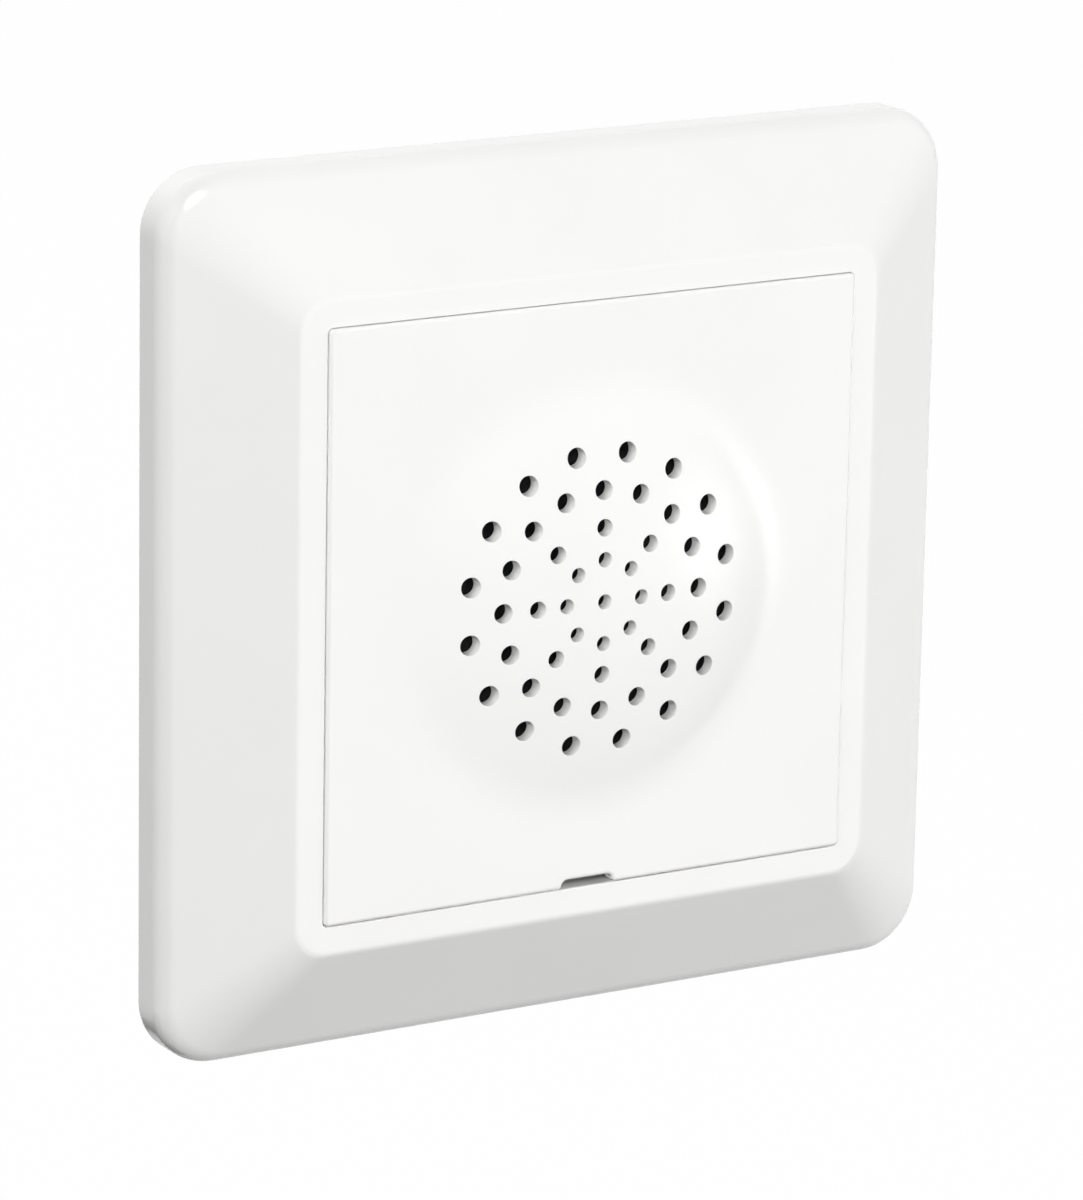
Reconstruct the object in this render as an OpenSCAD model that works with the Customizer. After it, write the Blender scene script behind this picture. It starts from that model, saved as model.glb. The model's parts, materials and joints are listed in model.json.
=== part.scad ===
// Flush-mounted door chime. A square cover frame and a perforated centre plate cover a loudspeaker
// insert that sits in a round wall box. The front faces -Y, the wall's surface is Y = 0 and +Z is up.
// The modules work in a wall view: x to the right, y up, z out of the wall towards the room.

/* [Cover frame] */
// Outer width and height of the frame
frame_w = 82; // [80:0.5:90]
// Height of the rim above the wall
frame_h = 10; // [9.6:0.1:12]
// Height of the side, up to where the bevel would meet it
frame_side_h = 4; // [3.4:0.1:5]
// Radius of the outer corners
frame_corner_r = 5.75; // [4:0.25:9]
// Rounding between the side and the bevel
frame_edge_r = 2.5; // [1:0.1:3]
// Wall thickness of the frame
frame_wall = 2; // [1.5:0.1:2.4]
// Width of the flat rim round the opening
rim_w = 2.65; // [2:0.05:3.5]
// Corner radius of the rim's outer edge
rim_corner_r = 3.1; // [2:0.1:4]
// Rounding between the bevel and the rim
rim_edge_r = 1.5; // [0.5:0.1:2]
// Corner radius of the opening
opening_corner_r = 0.55; // [0.4:0.05:1.5]
// Rounding of the opening's edge
opening_edge_r = 0.1; // [0.05:0.05:0.4]
// Width of the ledge behind the plate's edge
ledge_w = 1.15; // [1:0.05:1.6]
// Thickness of that ledge
ledge_t = 1.45; // [0.8:0.05:1.7]
// Thickness of the ribs under the bevel
rib_t = 1; // [0.8:0.1:1.5]
// Distance of the ribs from the middle of each side
rib_at = 14; // [8:0.5:20]

/* [Centre plate] */
// Width and height of the plate
plate_w = 54.8; // [54:0.1:56]
// Thickness of the plate
plate_t = 1.4; // [1.2:0.1:1.8]
// Height of the plate's edge above the rim
plate_proud = 0.25; // [0:0.05:0.5]
// Corner radius of the plate
plate_corner_r = 0.45; // [0.3:0.05:1.2]
// Rounding of the plate's front edges
plate_edge_r = 0.35; // [0.2:0.05:0.7]
// Rise of the round dome
dome_h = 2; // [1:0.05:3]
// Radius of the dome's sphere
dome_r = 96.5; // [70:0.5:130]
// Radius of the blend at the dome's foot
dome_blend_r = 20; // [5:1:30]
// Width of the pry notch at the plate's edge
notch_w = 6; // [4:0.1:8]
// Width of the pry notch at its top
notch_top_w = 5.4; // [3:0.1:7]
// Depth of the pry notch
notch_d = 0.8; // [0.5:0.1:1.2]
// Rounding of the notch's top corners
notch_r = 0.6; // [0.2:0.05:0.7]
// Diameter of the push-in spigots
spigot_d = 3.9; // [3:0.1:4.4]
// Length of the spigots
spigot_l = 4.6; // [3:0.1:5]
// Width of the split in each spigot
spigot_slot = 0.8; // [0.5:0.1:1.2]

/* [Sound holes] */
// Diameter of the middle hole
hole_d = 1.4; // [1:0.1:2]
// Radius of each ring of holes
ring_r = [3.93, 6.88, 10.31, 13.73]; // [3:0.01:16]
// Number of holes in each ring
ring_count = [8, 8, 16, 16]; // [4:1:20]
// Diameter of the holes in each ring
ring_hole_d = [1.4, 1.6, 1.8, 1.9]; // [1:0.1:2.2]
// Turn of each ring, as a share of its hole spacing
ring_shift = [0, 0, 0, 0.5]; // [0:0.1:1]

/* [Insert] */
// Thickness of the carrier's front wall
carrier_front_t = 1.6; // [1.2:0.1:1.8]
// Thickness of the carrier's side walls
carrier_wall = 1.5; // [1.2:0.1:2]
// Corner radius of the carrier and the housing's flange
carrier_corner_r = 2; // [1:0.1:3]
// Distance of the spigots from the carrier's edges
spigot_inset = 4; // [3.8:0.1:4.6]
// Wall of the spigots' sockets
socket_wall = 1.3; // [1:0.1:1.5]
// Distance of the housing's cup from the carrier's edges
cup_inset = 1.5; // [1.2:0.1:2.5]
// Depth of the cup behind the wall's surface
cup_depth = 14; // [12:0.5:20]
// Wall thickness of the cup
cup_wall = 1.6; // [1.2:0.1:1.8]
// Height of the posts between the board and the carrier
post_h = 1.1; // [0.9:0.1:1.3]

/* [Support plate] */
// Distance of the steel support plate's edges from the frame's outside
support_inset = 5.5; // [5:0.1:7]
// Thickness of the support plate
support_t = 1.2; // [1:0.1:1.3]
// Corner radius of the support plate
support_corner_r = 5; // [2:0.5:8]
// Distance between opposite fixing slots
slot_spacing = 60; // [60:0.1:61]
// Width of the fixing slots
slot_w = 3.6; // [3.2:0.1:4.2]
// Length of the fixing slots, end to end
slot_l = 7; // [5:0.1:7.4]

/* [Assembly screws] */
// Thread diameter of the assembly screws
screw_d = 2.5; // [2:0.1:2.6]
// Head diameter of the assembly screws
screw_head_d = 4.6; // [4:0.1:5]
// Distance of the assembly screws from the carrier's edge
screw_inset = 3; // [2.8:0.1:3.2]
// Distance of the assembly screws from the spigots, along the side
screw_drop = 5; // [4.5:0.1:6]
// Diameter of the carrier's screw bosses
boss_d = 5; // [4.6:0.1:5.4]

/* [Loudspeaker] */
// Distance of the basket's flange from the carrier's edges
speaker_inset = 7.5; // [6.8:0.1:8.5]
// Width of the flange outside the basket's cone
speaker_lip = 3.3; // [3:0.1:3.6]
// Thickness of the basket's sheet steel
basket_t = 0.8; // [0.5:0.1:0.9]
// Depth of the basket behind its flange
basket_depth = 6; // [5.6:0.1:7]
// Radius of the basket's back
basket_back_r = 9.4; // [9:0.1:10]
// Diameter of the magnet
magnet_d = 19; // [17:0.5:20]
// Thickness of the magnet
magnet_t = 4; // [3:0.1:5]
// Thickness of the top plate and of the yoke's disc
pole_plate_t = 1.5; // [1:0.1:2]
// Diameter of the yoke's pole
pole_d = 7.2; // [6:0.1:8]
// Thickness of the voice coil's former
former_t = 0.15; // [0.1:0.05:0.3]
// Thickness of the coil's winding
winding_t = 0.35; // [0.2:0.05:0.5]
// Radius of the surround's half roll
roll_r = 0.9; // [0.7:0.05:1]
// Thickness of the paper cone
cone_t = 0.35; // [0.25:0.05:0.5]
// Thickness of the surround, the spider and the dust cap
skin_t = 0.2; // [0.15:0.05:0.3]
// Stroke of the cone each way
cone_stroke = 0.6; // [0.3:0.1:0.8]
// Thread diameter of the speaker's screws
clip_d = 1.8; // [1.6:0.1:2.2]
// Head diameter of the speaker's screws
clip_head_d = 4.4; // [4:0.1:5]

/* [Circuit board] */
// Thickness of the board
board_t = 1.6; // [1.2:0.1:1.6]
// Diameter of the capacitors
capacitor_d = 8; // [6:0.5:8]
// Length of the capacitors
capacitor_l = 11; // [8:0.5:12]
// Length of the chips
chip_l = 9; // [6:0.5:10]
// Width of the chips
chip_w = 6; // [4:0.5:6]
// Thickness of the chips
chip_t = 2.6; // [1.5:0.1:3]

/* [Controls] */
// Width of the trimmer and of the tune switch
control_w = 6; // [5:0.1:6.2]
// Distance of the controls from the middle
control_x = 13; // [12:0.1:13.5]
// Distance of the controls from the carrier's edge
control_inset = 5.1; // [5:0.1:5.4]
// Diameter of the trimmer's rotor
rotor_d = 4.4; // [3.5:0.1:4.6]
// Diameter of the tune button
button_d = 3.4; // [2.5:0.1:4]
// Height of the tune button above the carrier
button_rise = 1.1; // [0.8:0.1:1.2]
// Travel of the tune button
button_travel = 0.4; // [0.2:0.1:0.5]

/* [Terminals] */
// Distance between the two poles
pole_pitch = 8; // [7.6:0.1:9]
// Depth of the terminal block behind the housing
block_depth = 10; // [9:0.1:12]
// Diameter of the wire entries
wire_d = 2.6; // [2:0.1:2.8]
// Wall behind the wire entries' mouths
entry_wall = 2.4; // [2:0.1:3]
// Travel of the clamp cages
clamp_travel = 2.2; // [1.5:0.1:2.3]
// Width of the clamp cages
cage_w = 4.4; // [4:0.1:4.6]
// Length of the clamp cages
cage_l = 5; // [4:0.1:5.5]
// Wall of the clamp cages
cage_wall = 0.7; // [0.6:0.05:0.8]
// Thickness of the cages' threaded base
cage_base = 1.6; // [1.2:0.1:2]
// Thread diameter of the clamp screws
clamp_d = 2.4; // [2:0.1:2.4]
// Head diameter of the clamp screws
clamp_head_d = 3.8; // [3:0.1:3.8]
// Thickness of the contact strips
strip_t = 0.8; // [0.6:0.1:1]
// Width of the contact strips
strip_w = 2.4; // [1.8:0.1:2.4]

/* [Clearances] */
// Gap round the plate in the frame's opening
plate_gap = 0.15; // [0.1:0.05:0.5]
// Clearance where one piece seats on another
seat_gap = 0.1; // [0.05:0.05:0.2]
// Clearance between pieces that move past each other
body_gap = 0.3; // [0.2:0.05:0.4]
// Radial clearance of pins in their holes
running_fit = 0.05; // [0.02:0.01:0.1]
// Gap between the carrier and the frame's ledge
carrier_gap = 0.4; // [0.3:0.05:0.5]

/* [Hidden] */
$fn = 64;
tiny = 0.01;
cut = 1;                  // overrun of cutting shapes
corner_steps = 8;         // facets in a quarter turn of the frame's corners

// Frame's section, as distances from the middle and heights above the wall
frame_half = frame_w / 2;
open_half = plate_w / 2 + plate_gap;
rim_half = open_half + rim_w;
ledge_half = open_half - ledge_w;
bevel_a = atan((frame_h - frame_side_h) / (frame_half - rim_half));
side_tangent = frame_edge_r * tan((90 - bevel_a) / 2);
rim_tangent = rim_edge_r * tan(bevel_a / 2);
plate_front = frame_h + plate_proud;
plate_back = plate_front - plate_t;
ledge_top = plate_back - seat_gap;
ledge_bottom = ledge_top - ledge_t;
cavity_half = frame_half - frame_wall;
cavity_drop = frame_wall / cos(bevel_a);
cavity_side_h = frame_side_h + frame_wall * tan(bevel_a) - cavity_drop;
cavity_top_half = frame_half - (ledge_bottom + cavity_drop - frame_side_h) / tan(bevel_a);
rib_foot = support_t + 2 * body_gap;
rib_sink = 0.4;           // how far a rib runs into the frame's wall
rib_deep = 1.4;           // how far a rib stands out of it

// Insert's levels along z
carrier_front = ledge_bottom - body_gap;
carrier_back = carrier_front - carrier_front_t;
board_front = carrier_back - post_h;
board_back = board_front - board_t;
flange_front = board_back;
cup_floor = cup_wall - cup_depth;

// Insert's places across the wall
carrier_w = 2 * (ledge_half - carrier_gap);
support_w = frame_w - 2 * support_inset;
cup_d = carrier_w - 2 * cup_inset;
cup_r = cup_d / 2;
cup_in_r = cup_r - cup_wall;
spigot_at = carrier_w / 2 - spigot_inset;
socket_r = spigot_d / 2 + running_fit + socket_wall;
socket_rise = 0.9;        // sockets stand this far proud of the carrier
screw_x = carrier_w / 2 - screw_inset;
screw_y = spigot_at - screw_drop;
screw_tip = carrier_front - 1;
screw_head_h = (screw_head_d - screw_d) / 2;
board_w = carrier_w - 2 * carrier_wall - 2 * body_gap;
board_arm_x = spigot_at - socket_r - body_gap;
board_arm_y = screw_y - boss_d / 2 - body_gap;
post_x = board_w / 2 - 2.4;
post_y = 9;
post_d = 3.2;

// Loudspeaker's levels and radii
speaker_r = carrier_w / 2 - speaker_inset;
basket_r = speaker_r - speaker_lip;
basket_back = carrier_front - basket_depth;
flange_top = carrier_front + basket_t;
gasket_bottom = flange_top + skin_t;
gasket_top = plate_back - seat_gap;
flange_bare = 1.3;        // flange left bare outside the surround
flange_reach = 0.6;       // flange's reach inside the basket's cone
roll_gap = 0.2;           // between the roll and the basket's cone
surround_out_r = speaker_r - flange_bare;
roll_mid_r = basket_r - roll_r - roll_gap;
cone_r = roll_mid_r - roll_r;
flange_hole_r = basket_r - flange_reach;
basket_slope = (basket_r - basket_back_r) / basket_depth;
board_hole_r = basket_back_r + basket_slope * (board_front - basket_back) + 3 * body_gap;
part_ring_r = (board_hole_r + cup_in_r) / 2;
pole_r = pole_d / 2;
former_in_r = pole_r + body_gap;
former_r = former_in_r + former_t;
winding_r = former_r + winding_t;
coil_gap_r = winding_r + body_gap;
top_plate_back = basket_back - pole_plate_t;
magnet_back = top_plate_back - magnet_t;
yoke_back = magnet_back - pole_plate_t;
former_back = magnet_back + cone_stroke + body_gap;
neck_rise = 2.9;          // cone's neck above the basket's back
former_lip = 0.7;         // former's end above the neck
spider_rise = 0.6;        // step that the spider is glued on
spider_rim = 1;
neck_z = basket_back + neck_rise;
former_front = neck_z + former_lip;
spider_z = basket_back + basket_t + spider_rise;
spider_r = basket_back_r - basket_t / 2;
basket_in_r = basket_back_r + basket_slope * (spider_z - basket_back)
    - basket_t * sqrt(1 + pow(basket_slope, 2));
cap_rim = 1;              // dust cap's reach outside the former
cap_r = former_r + cap_rim;
cap_rise = 1.2;
cone_rim = 1;             // width of the cone's flat rim
cone_face_r = cone_r - 1.1 * cone_rim;
cone_rise = (flange_top - neck_z - cone_t) / (cone_face_r - former_r);
cap_foot = neck_z + cone_t + cone_rise * (cap_r - former_r) + 0.05;
clip_at = speaker_r + clip_d / 2 + 0.4;
tag_x = 2.2;
tag_end = basket_back_r + 5.6;
lead_r = 0.5;
lead_bend = 2.2;
lead_y = tag_end - 0.8;
lead_back = basket_back - 2.5;

// Terminals' places: y runs up the wall, z is negative behind it
block_front = -cup_depth;
block_back = block_front - block_depth;
strip_top = -(board_hole_r + 0.5);
strip_bottom = strip_top - strip_t;
window_bottom = strip_bottom - body_gap;
window_top = strip_top + wire_d;
cage_bottom = window_bottom - cage_base;
cage_top = window_top + cage_wall + 0.2;
chamber_w = cage_w + 2 * body_gap;
chamber_top = cage_top + body_gap;
chamber_bottom = cage_bottom - clamp_travel - body_gap;
chamber_back = block_back + entry_wall;
cage_z = (chamber_back + block_front) / 2;
seat_t = 1;               // wall that the clamp screw's head bears on
head_top = chamber_bottom - seat_t - seat_gap;
head_h = 1.5;
block_bottom = head_top - head_h - 0.8;
block_top = chamber_top + 1.2;
block_w = pole_pitch + chamber_w + 3.2;
peg_d = 2.4;
peg_ys = [block_top - 2.5, block_bottom + 2.5];
wire_y = strip_top + wire_d / 2;
funnel_d = 0.6;           // depth and flare of the wire entries' mouths

// Small parts on the board
leg_t = 0.3;
leg_w = 0.6;
leg_l = 1.4;
chip_mark_r = 0.8;
resistor_d = 1.8;
resistor_l = 4.8;
resistor_pitch = 2.6;

// Controls' places
control_y = control_inset - carrier_w / 2;
trimmer_top = carrier_front - 0.6;
rotor_top = carrier_front + 0.5;
rotor_stem_d = 2;
slot_tool_w = 0.7;        // screwdriver slot

// Turns the wall view into the part's frame
module wall_view() rotate([90, 0, 0]) children();

// Copies a shape to both sides, or to all four corners, of the middle
module both_sides(x, y) for (sx = [-1, 1]) translate([sx * x, y, 0]) children();
module corners(x, y) for (sy = [-1, 1]) both_sides(x, sy * y) children();

module rounded_square(w, r) {
    square([w - 2 * r, w], center = true);
    square([w, w - 2 * r], center = true);
    corners(w / 2 - r, w / 2 - r) circle(r);
}

module slab(w, r, low, high) translate([0, 0, low]) linear_extrude(high - low) rounded_square(w, r);

module rod(d, low, high) translate([0, 0, low]) cylinder(d = d, h = high - low);

// A flat ring between two radii and two levels
module ring(inner, outer, low, high) difference() {
    rod(2 * outer, low, high);
    rod(2 * inner, low - cut, high + cut);
}

function arc(x, z, r, from, to, steps) =
    [for (i = [0:steps]) let (a = from + (to - from) * i / steps) [x + r * cos(a), z + r * sin(a)]];

function blend(from, to, share) = from + (to - from) * share;

// Corner radius of the frame's outer surface at a distance from the middle
function outer_corner(half) = half > rim_half
    ? blend(rim_corner_r, frame_corner_r, (half - rim_half) / (frame_half - rim_half))
    : blend(opening_corner_r, rim_corner_r, (half - open_half) / rim_w);

// The frame's closed section, each point with the corner radius of its ring
outer_section = concat(
    [[frame_half, 0]],
    arc(frame_half - frame_edge_r, frame_side_h - side_tangent, frame_edge_r, 0, 90 - bevel_a, 6),
    arc(rim_half - rim_tangent, frame_h - rim_edge_r, rim_edge_r, 90 - bevel_a, 90, 4),
    arc(open_half + opening_edge_r, frame_h - opening_edge_r, opening_edge_r, 90, 180, 3));
frame_section = concat(
    [for (p = outer_section) [p.x, p.y, outer_corner(p.x)]],
    [[open_half, ledge_top, opening_corner_r],
     [ledge_half, ledge_top, opening_corner_r],
     [ledge_half, ledge_bottom, opening_corner_r],
     [cavity_top_half, ledge_bottom, rim_corner_r],
     [cavity_half, cavity_side_h, frame_corner_r - frame_wall],
     [cavity_half, 0, frame_corner_r - frame_wall]]);

// One ring of the frame: a rounded square at a level
function frame_ring(p) = [for (q = [0:3]) for (i = [0:corner_steps])
    let (a = 90 * (q + i / corner_steps), mid = 45 + 90 * q, side = (p.x - p[2]) * sqrt(2))
    [side * cos(mid) + p[2] * cos(a), side * sin(mid) + p[2] * sin(a), p.y]];

module frame_shell() {
    rings = len(frame_section);
    sides = 4 * (corner_steps + 1);
    points = [for (p = frame_section) each frame_ring(p)];
    faces = [for (k = [0:rings - 1]) for (j = [0:sides - 1])
        let (k2 = (k + 1) % rings, j2 = (j + 1) % sides,
            a = k * sides + j, b = k2 * sides + j, c = k2 * sides + j2, d = k * sides + j2)
        each [[a, b, c], [a, c, d]]];
    polyhedron(points, faces);
}

module frame_rib() rotate([90, 0, 0]) linear_extrude(rib_t, center = true) polygon([
    [ledge_half + rib_sink, ledge_bottom + rib_sink],
    [cavity_top_half, ledge_bottom + rib_sink],
    [cavity_half + rib_sink, cavity_side_h + rib_sink],
    [cavity_half + rib_sink, rib_foot],
    [cavity_half - 2 * rib_deep, rib_foot],
    [cavity_top_half - rib_deep, ledge_bottom - rib_deep],
    [ledge_half + 2 * rib_sink, ledge_bottom - rib_sink]]);

module cover_frame() color("white") wall_view() difference() {
    union() {
        frame_shell();
        for (a = [0:90:270]) rotate(a) for (s = [-1, 1]) translate([0, s * rib_at, 0]) frame_rib();
    }
    // room for the screwdriver that lifts the plate at its notch
    translate([-notch_w / 2 - cut, -open_half, ledge_bottom - 2 * rib_sink])
        cube([notch_w + 2 * cut, ledge_w + cut, ledge_t + seat_gap + 2 * rib_sink]);
}

// Half section of the dome above a level surface, blended into it with a fillet
module dome_section(sphere_r, fillet_r) {
    reach = sphere_r + fillet_r;
    foot = sqrt(pow(reach, 2) - pow(reach - dome_h, 2));
    meet = [foot * sphere_r / reach, dome_h - sphere_r * (1 - (reach - dome_h) / reach)];
    difference() {
        polygon([[0, -tiny], [foot, -tiny], [foot, 0], [meet.x, meet.y], [0, meet.y]]);
        translate([foot, fillet_r]) circle(fillet_r, $fn = 256);
    }
    intersection() {
        translate([0, dome_h - sphere_r]) circle(sphere_r, $fn = 512);
        translate([0, meet.y - tiny]) square([meet.x, dome_h]);
    }
}

module dome(sphere_r, fillet_r, level) translate([0, 0, level])
    rotate_extrude() dome_section(sphere_r, fillet_r);

// A bar's section with rounded top edges
module rounded_top(w, h, r) translate([-w / 2, 0]) {
    square([w, h - r]);
    translate([r, 0]) square([w - 2 * r, h]);
    for (x = [r, w - r]) translate([x, h - r]) circle(r);
}

module plate_bar(turn) translate([0, 0, plate_back]) rotate([90, 0, turn])
    linear_extrude(plate_w + cut, center = true) rounded_top(plate_w, plate_t, plate_edge_r);

module plate_slab() intersection() {
    slab(plate_w, plate_corner_r, plate_back, plate_front);
    plate_bar(0);
    plate_bar(90);
}

module notch_outline() {
    polygon([[-notch_w / 2, -cut], [notch_w / 2, -cut], [notch_w / 2, 0],
        [notch_top_w / 2, notch_d - notch_r], [-notch_top_w / 2, notch_d - notch_r], [-notch_w / 2, 0]]);
    translate([notch_r - notch_top_w / 2, 0]) square([notch_top_w - 2 * notch_r, notch_d]);
    both_sides(notch_top_w / 2 - notch_r, notch_d - notch_r) circle(notch_r);
}

module sound_hole(d) rod(d, plate_back - cut, plate_front + dome_h + cut);

module spigot() difference() {
    union() {
        rod(spigot_d, plate_back + tiny - spigot_l + spigot_slot, plate_back + tiny);
        translate([0, 0, plate_back - spigot_l])
            cylinder(d1 = spigot_d - spigot_slot, d2 = spigot_d, h = spigot_slot + tiny);
    }
    translate([0, 0, plate_back - spigot_l / 2 - spigot_slot])
        cube([spigot_slot, spigot_d + cut, spigot_l], center = true);
}

module centre_plate() color("white") wall_view() {
    difference() {
        union() {
            plate_slab();
            dome(dome_r, dome_blend_r, plate_front);
        }
        dome(dome_r - plate_t, dome_blend_r + plate_t, plate_back);
        sound_hole(hole_d);
        for (i = [0:len(ring_r) - 1]) for (k = [1:ring_count[i]])
            rotate((k + ring_shift[i]) * 360 / ring_count[i])
                translate([ring_r[i], 0, 0]) sound_hole(ring_hole_d[i]);
        translate([0, -plate_w / 2, plate_back - cut]) linear_extrude(plate_t + 2 * cut) notch_outline();
    }
    corners(spigot_at, spigot_at) spigot();
}

module carrier() color("dimgray") wall_view() difference() {
    union() {
        slab(carrier_w, carrier_corner_r, carrier_back, carrier_front);
        difference() {
            slab(carrier_w, carrier_corner_r, flange_front, carrier_back + tiny);
            slab(carrier_w - 2 * carrier_wall, carrier_corner_r / 2, flange_front - cut, carrier_back + cut);
        }
        corners(spigot_at, spigot_at)
            rod(2 * socket_r, flange_front + body_gap, carrier_front + socket_rise);
        corners(screw_x, screw_y) rod(boss_d, flange_front, carrier_back + tiny);
        corners(post_x, post_y) rod(post_d, board_front, carrier_back + tiny);
        for (a = [0:90:270]) rotate(a) translate([clip_at, 0, 0])
            rod(2 * clip_d, board_front + body_gap, carrier_back + tiny);
    }
    rod(2 * (basket_r + body_gap), carrier_back - cut, carrier_front + cut);
    corners(spigot_at, spigot_at)
        rod(spigot_d + 2 * running_fit, flange_front - cut, carrier_front + socket_rise + cut);
    corners(screw_x, screw_y) rod(screw_d + 2 * running_fit, flange_front - cut, screw_tip + body_gap);
    for (a = [0:90:270]) rotate(a) translate([clip_at, 0, 0])
        rod(clip_d + 2 * running_fit, board_front, carrier_front + cut);
    both_sides(control_x, control_y)
        slab(control_w + 2 * body_gap, body_gap, carrier_back - cut, carrier_front + cut);
}

module housing() color("gray") wall_view() difference() {
    union() {
        slab(carrier_w, carrier_corner_r, support_t, flange_front);
        rod(cup_d, -cup_depth, flange_front - tiny);
    }
    rod(2 * cup_in_r, cup_floor, flange_front + cut);
    corners(screw_x, screw_y) rod(screw_d + 2 * running_fit, support_t - cut, flange_front + cut);
    both_sides(pole_pitch / 2, strip_top - strip_t / 2) translate([0, 0, cup_floor - cup_wall / 2])
        cube([strip_w + 2 * seat_gap, strip_t + 2 * seat_gap, cup_wall + cut], center = true);
    for (y = peg_ys) translate([0, y, 0]) rod(peg_d + 2 * running_fit, -cup_depth - cut, cup_floor + cut);
}

// A fixing slot along x, centred
module slot() {
    square([slot_l - slot_w, slot_w], center = true);
    both_sides((slot_l - slot_w) / 2, 0) circle(d = slot_w);
}

module support_plate() color("silver") wall_view() difference() {
    linear_extrude(support_t) difference() {
        rounded_square(support_w, support_corner_r);
        circle(cup_r + body_gap);
        for (a = [0:90:270]) rotate(a) translate([slot_spacing / 2, 0]) slot();
        corners(screw_x, screw_y) circle(d = screw_d + 2 * running_fit);
    }
    corners(screw_x, screw_y) translate([0, 0, -tiny])
        cylinder(d1 = screw_head_d + 2 * running_fit, d2 = screw_d + 2 * running_fit, h = screw_head_h);
}

module assembly_screws() color("lightgray") wall_view() corners(screw_x, screw_y) difference() {
    union() {
        rod(screw_d, screw_head_h - tiny, screw_tip);
        cylinder(d1 = screw_head_d, d2 = screw_d, h = screw_head_h);
    }
    for (a = [0, 90]) rotate(a) cube([screw_d, slot_tool_w, screw_head_h], center = true);
}

module speaker_gasket() color("black") wall_view()
    ring(basket_r + 0.2, clip_at - clip_head_d / 2 - body_gap, gasket_bottom, gasket_top);

module speaker_basket() color("dimgray") wall_view() difference() {
    union() {
        rotate_extrude() polygon([
            [coil_gap_r + basket_t, basket_back], [basket_back_r, basket_back],
            [basket_r, carrier_front], [speaker_r, carrier_front], [speaker_r, flange_top],
            [flange_hole_r, flange_top], [flange_hole_r, carrier_front], [basket_in_r, spider_z],
            [spider_r - spider_rim, spider_z], [spider_r - spider_rim, basket_back + basket_t],
            [coil_gap_r + basket_t, basket_back + basket_t]]);
        translate([-2 * tag_x, basket_back_r - 2, basket_back]) cube([4 * tag_x, 5, basket_t]);
    }
    for (a = [45:90:315]) rotate(a)
        translate([(basket_back_r + basket_r) / 2, 0, basket_back + basket_depth / 2 + basket_t])
            cube([basket_r - basket_back_r + 2 * basket_t, basket_r / 2, basket_depth / 2], center = true);
}

// Flat glued rims on the cone and the flange, with a half roll between them
module speaker_surround() color("black") wall_view() {
    ring(roll_mid_r + roll_r - skin_t, surround_out_r, flange_top, gasket_bottom);
    ring(cone_r - 0.9 * cone_rim, roll_mid_r - roll_r + skin_t, flange_top, gasket_bottom);
    rotate_extrude() translate([roll_mid_r, flange_top]) intersection() {
        difference() {
            circle(roll_r);
            circle(roll_r - skin_t);
        }
        translate([-2 * roll_r, 0]) square(4 * roll_r);
    }
}

module speaker_cone() color("#222222") wall_view() rotate_extrude() polygon([
    [former_r + tiny, neck_z], [cone_r - cone_rim, flange_top - cone_t], [cone_r, flange_top - cone_t],
    [cone_r, flange_top], [cone_face_r, flange_top], [former_r + tiny, neck_z + cone_t]]);

module speaker_dust_cap() color("#181818") wall_view() {
    sphere_r = (pow(cap_r, 2) + pow(cap_rise, 2)) / (2 * cap_rise);
    rotate_extrude() intersection() {
        translate([0, cap_foot + cap_rise - sphere_r]) difference() {
            circle(sphere_r, $fn = 128);
            circle(sphere_r - skin_t, $fn = 128);
        }
        translate([0, cap_foot]) square([cap_r, cap_rise + cut]);
    }
}

module voice_coil_former() color("tan") wall_view()
    ring(former_in_r, former_r, former_back, former_front);

module voice_coil_winding() color("chocolate") wall_view()
    ring(former_r, winding_r, top_plate_back - 1.5, basket_back + basket_t);

// A glued rim on the basket's step, then corrugations down to the former
module speaker_spider() color("goldenrod") wall_view() {
    waves = 4;
    pitch = (spider_r - spider_rim - former_r) / waves;
    ring(spider_r - spider_rim - tiny, spider_r, spider_z, spider_z + skin_t);
    rotate_extrude() for (i = [0:waves - 1]) translate([former_r + tiny + i * pitch, spider_z])
        polygon([[0, 0], [pitch / 2, pitch / 3], [pitch, 0], [pitch, skin_t],
            [pitch / 2, pitch / 3 + skin_t], [0, skin_t]]);
}

module speaker_top_plate() color("silver") wall_view()
    ring(coil_gap_r, basket_back_r - 0.4, top_plate_back, basket_back);

module speaker_magnet() color("#303030") wall_view()
    ring(coil_gap_r + 0.8, magnet_d / 2, magnet_back, top_plate_back);

module speaker_yoke() color("silver") wall_view() {
    rod(magnet_d - 1, yoke_back, magnet_back);
    rod(pole_d, magnet_back - tiny, basket_back);
}

module speaker_screws() color("silver") wall_view()
    for (a = [0:90:270]) rotate(a) translate([clip_at, 0, 0]) difference() {
        union() {
            rod(clip_d, carrier_back - body_gap, flange_top + tiny);
            rod(clip_head_d, flange_top, gasket_top);
        }
        translate([0, 0, gasket_top]) rotate(30)
            cube([clip_head_d + cut, slot_tool_w, gasket_top - flange_top], center = true);
    }

module speaker_tag_strip() color("saddlebrown") wall_view()
    translate([-1.8 * tag_x, basket_back_r + 0.2, basket_back - 0.6]) cube([3.6 * tag_x, 2.8, 0.6]);

module speaker_tags() color("gold") wall_view() for (s = [-1, 1])
    translate([s * tag_x - 0.8, basket_back_r + 0.8, basket_back - 0.9])
        cube([1.6, tag_end - basket_back_r - 0.8, 0.3]);

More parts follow.
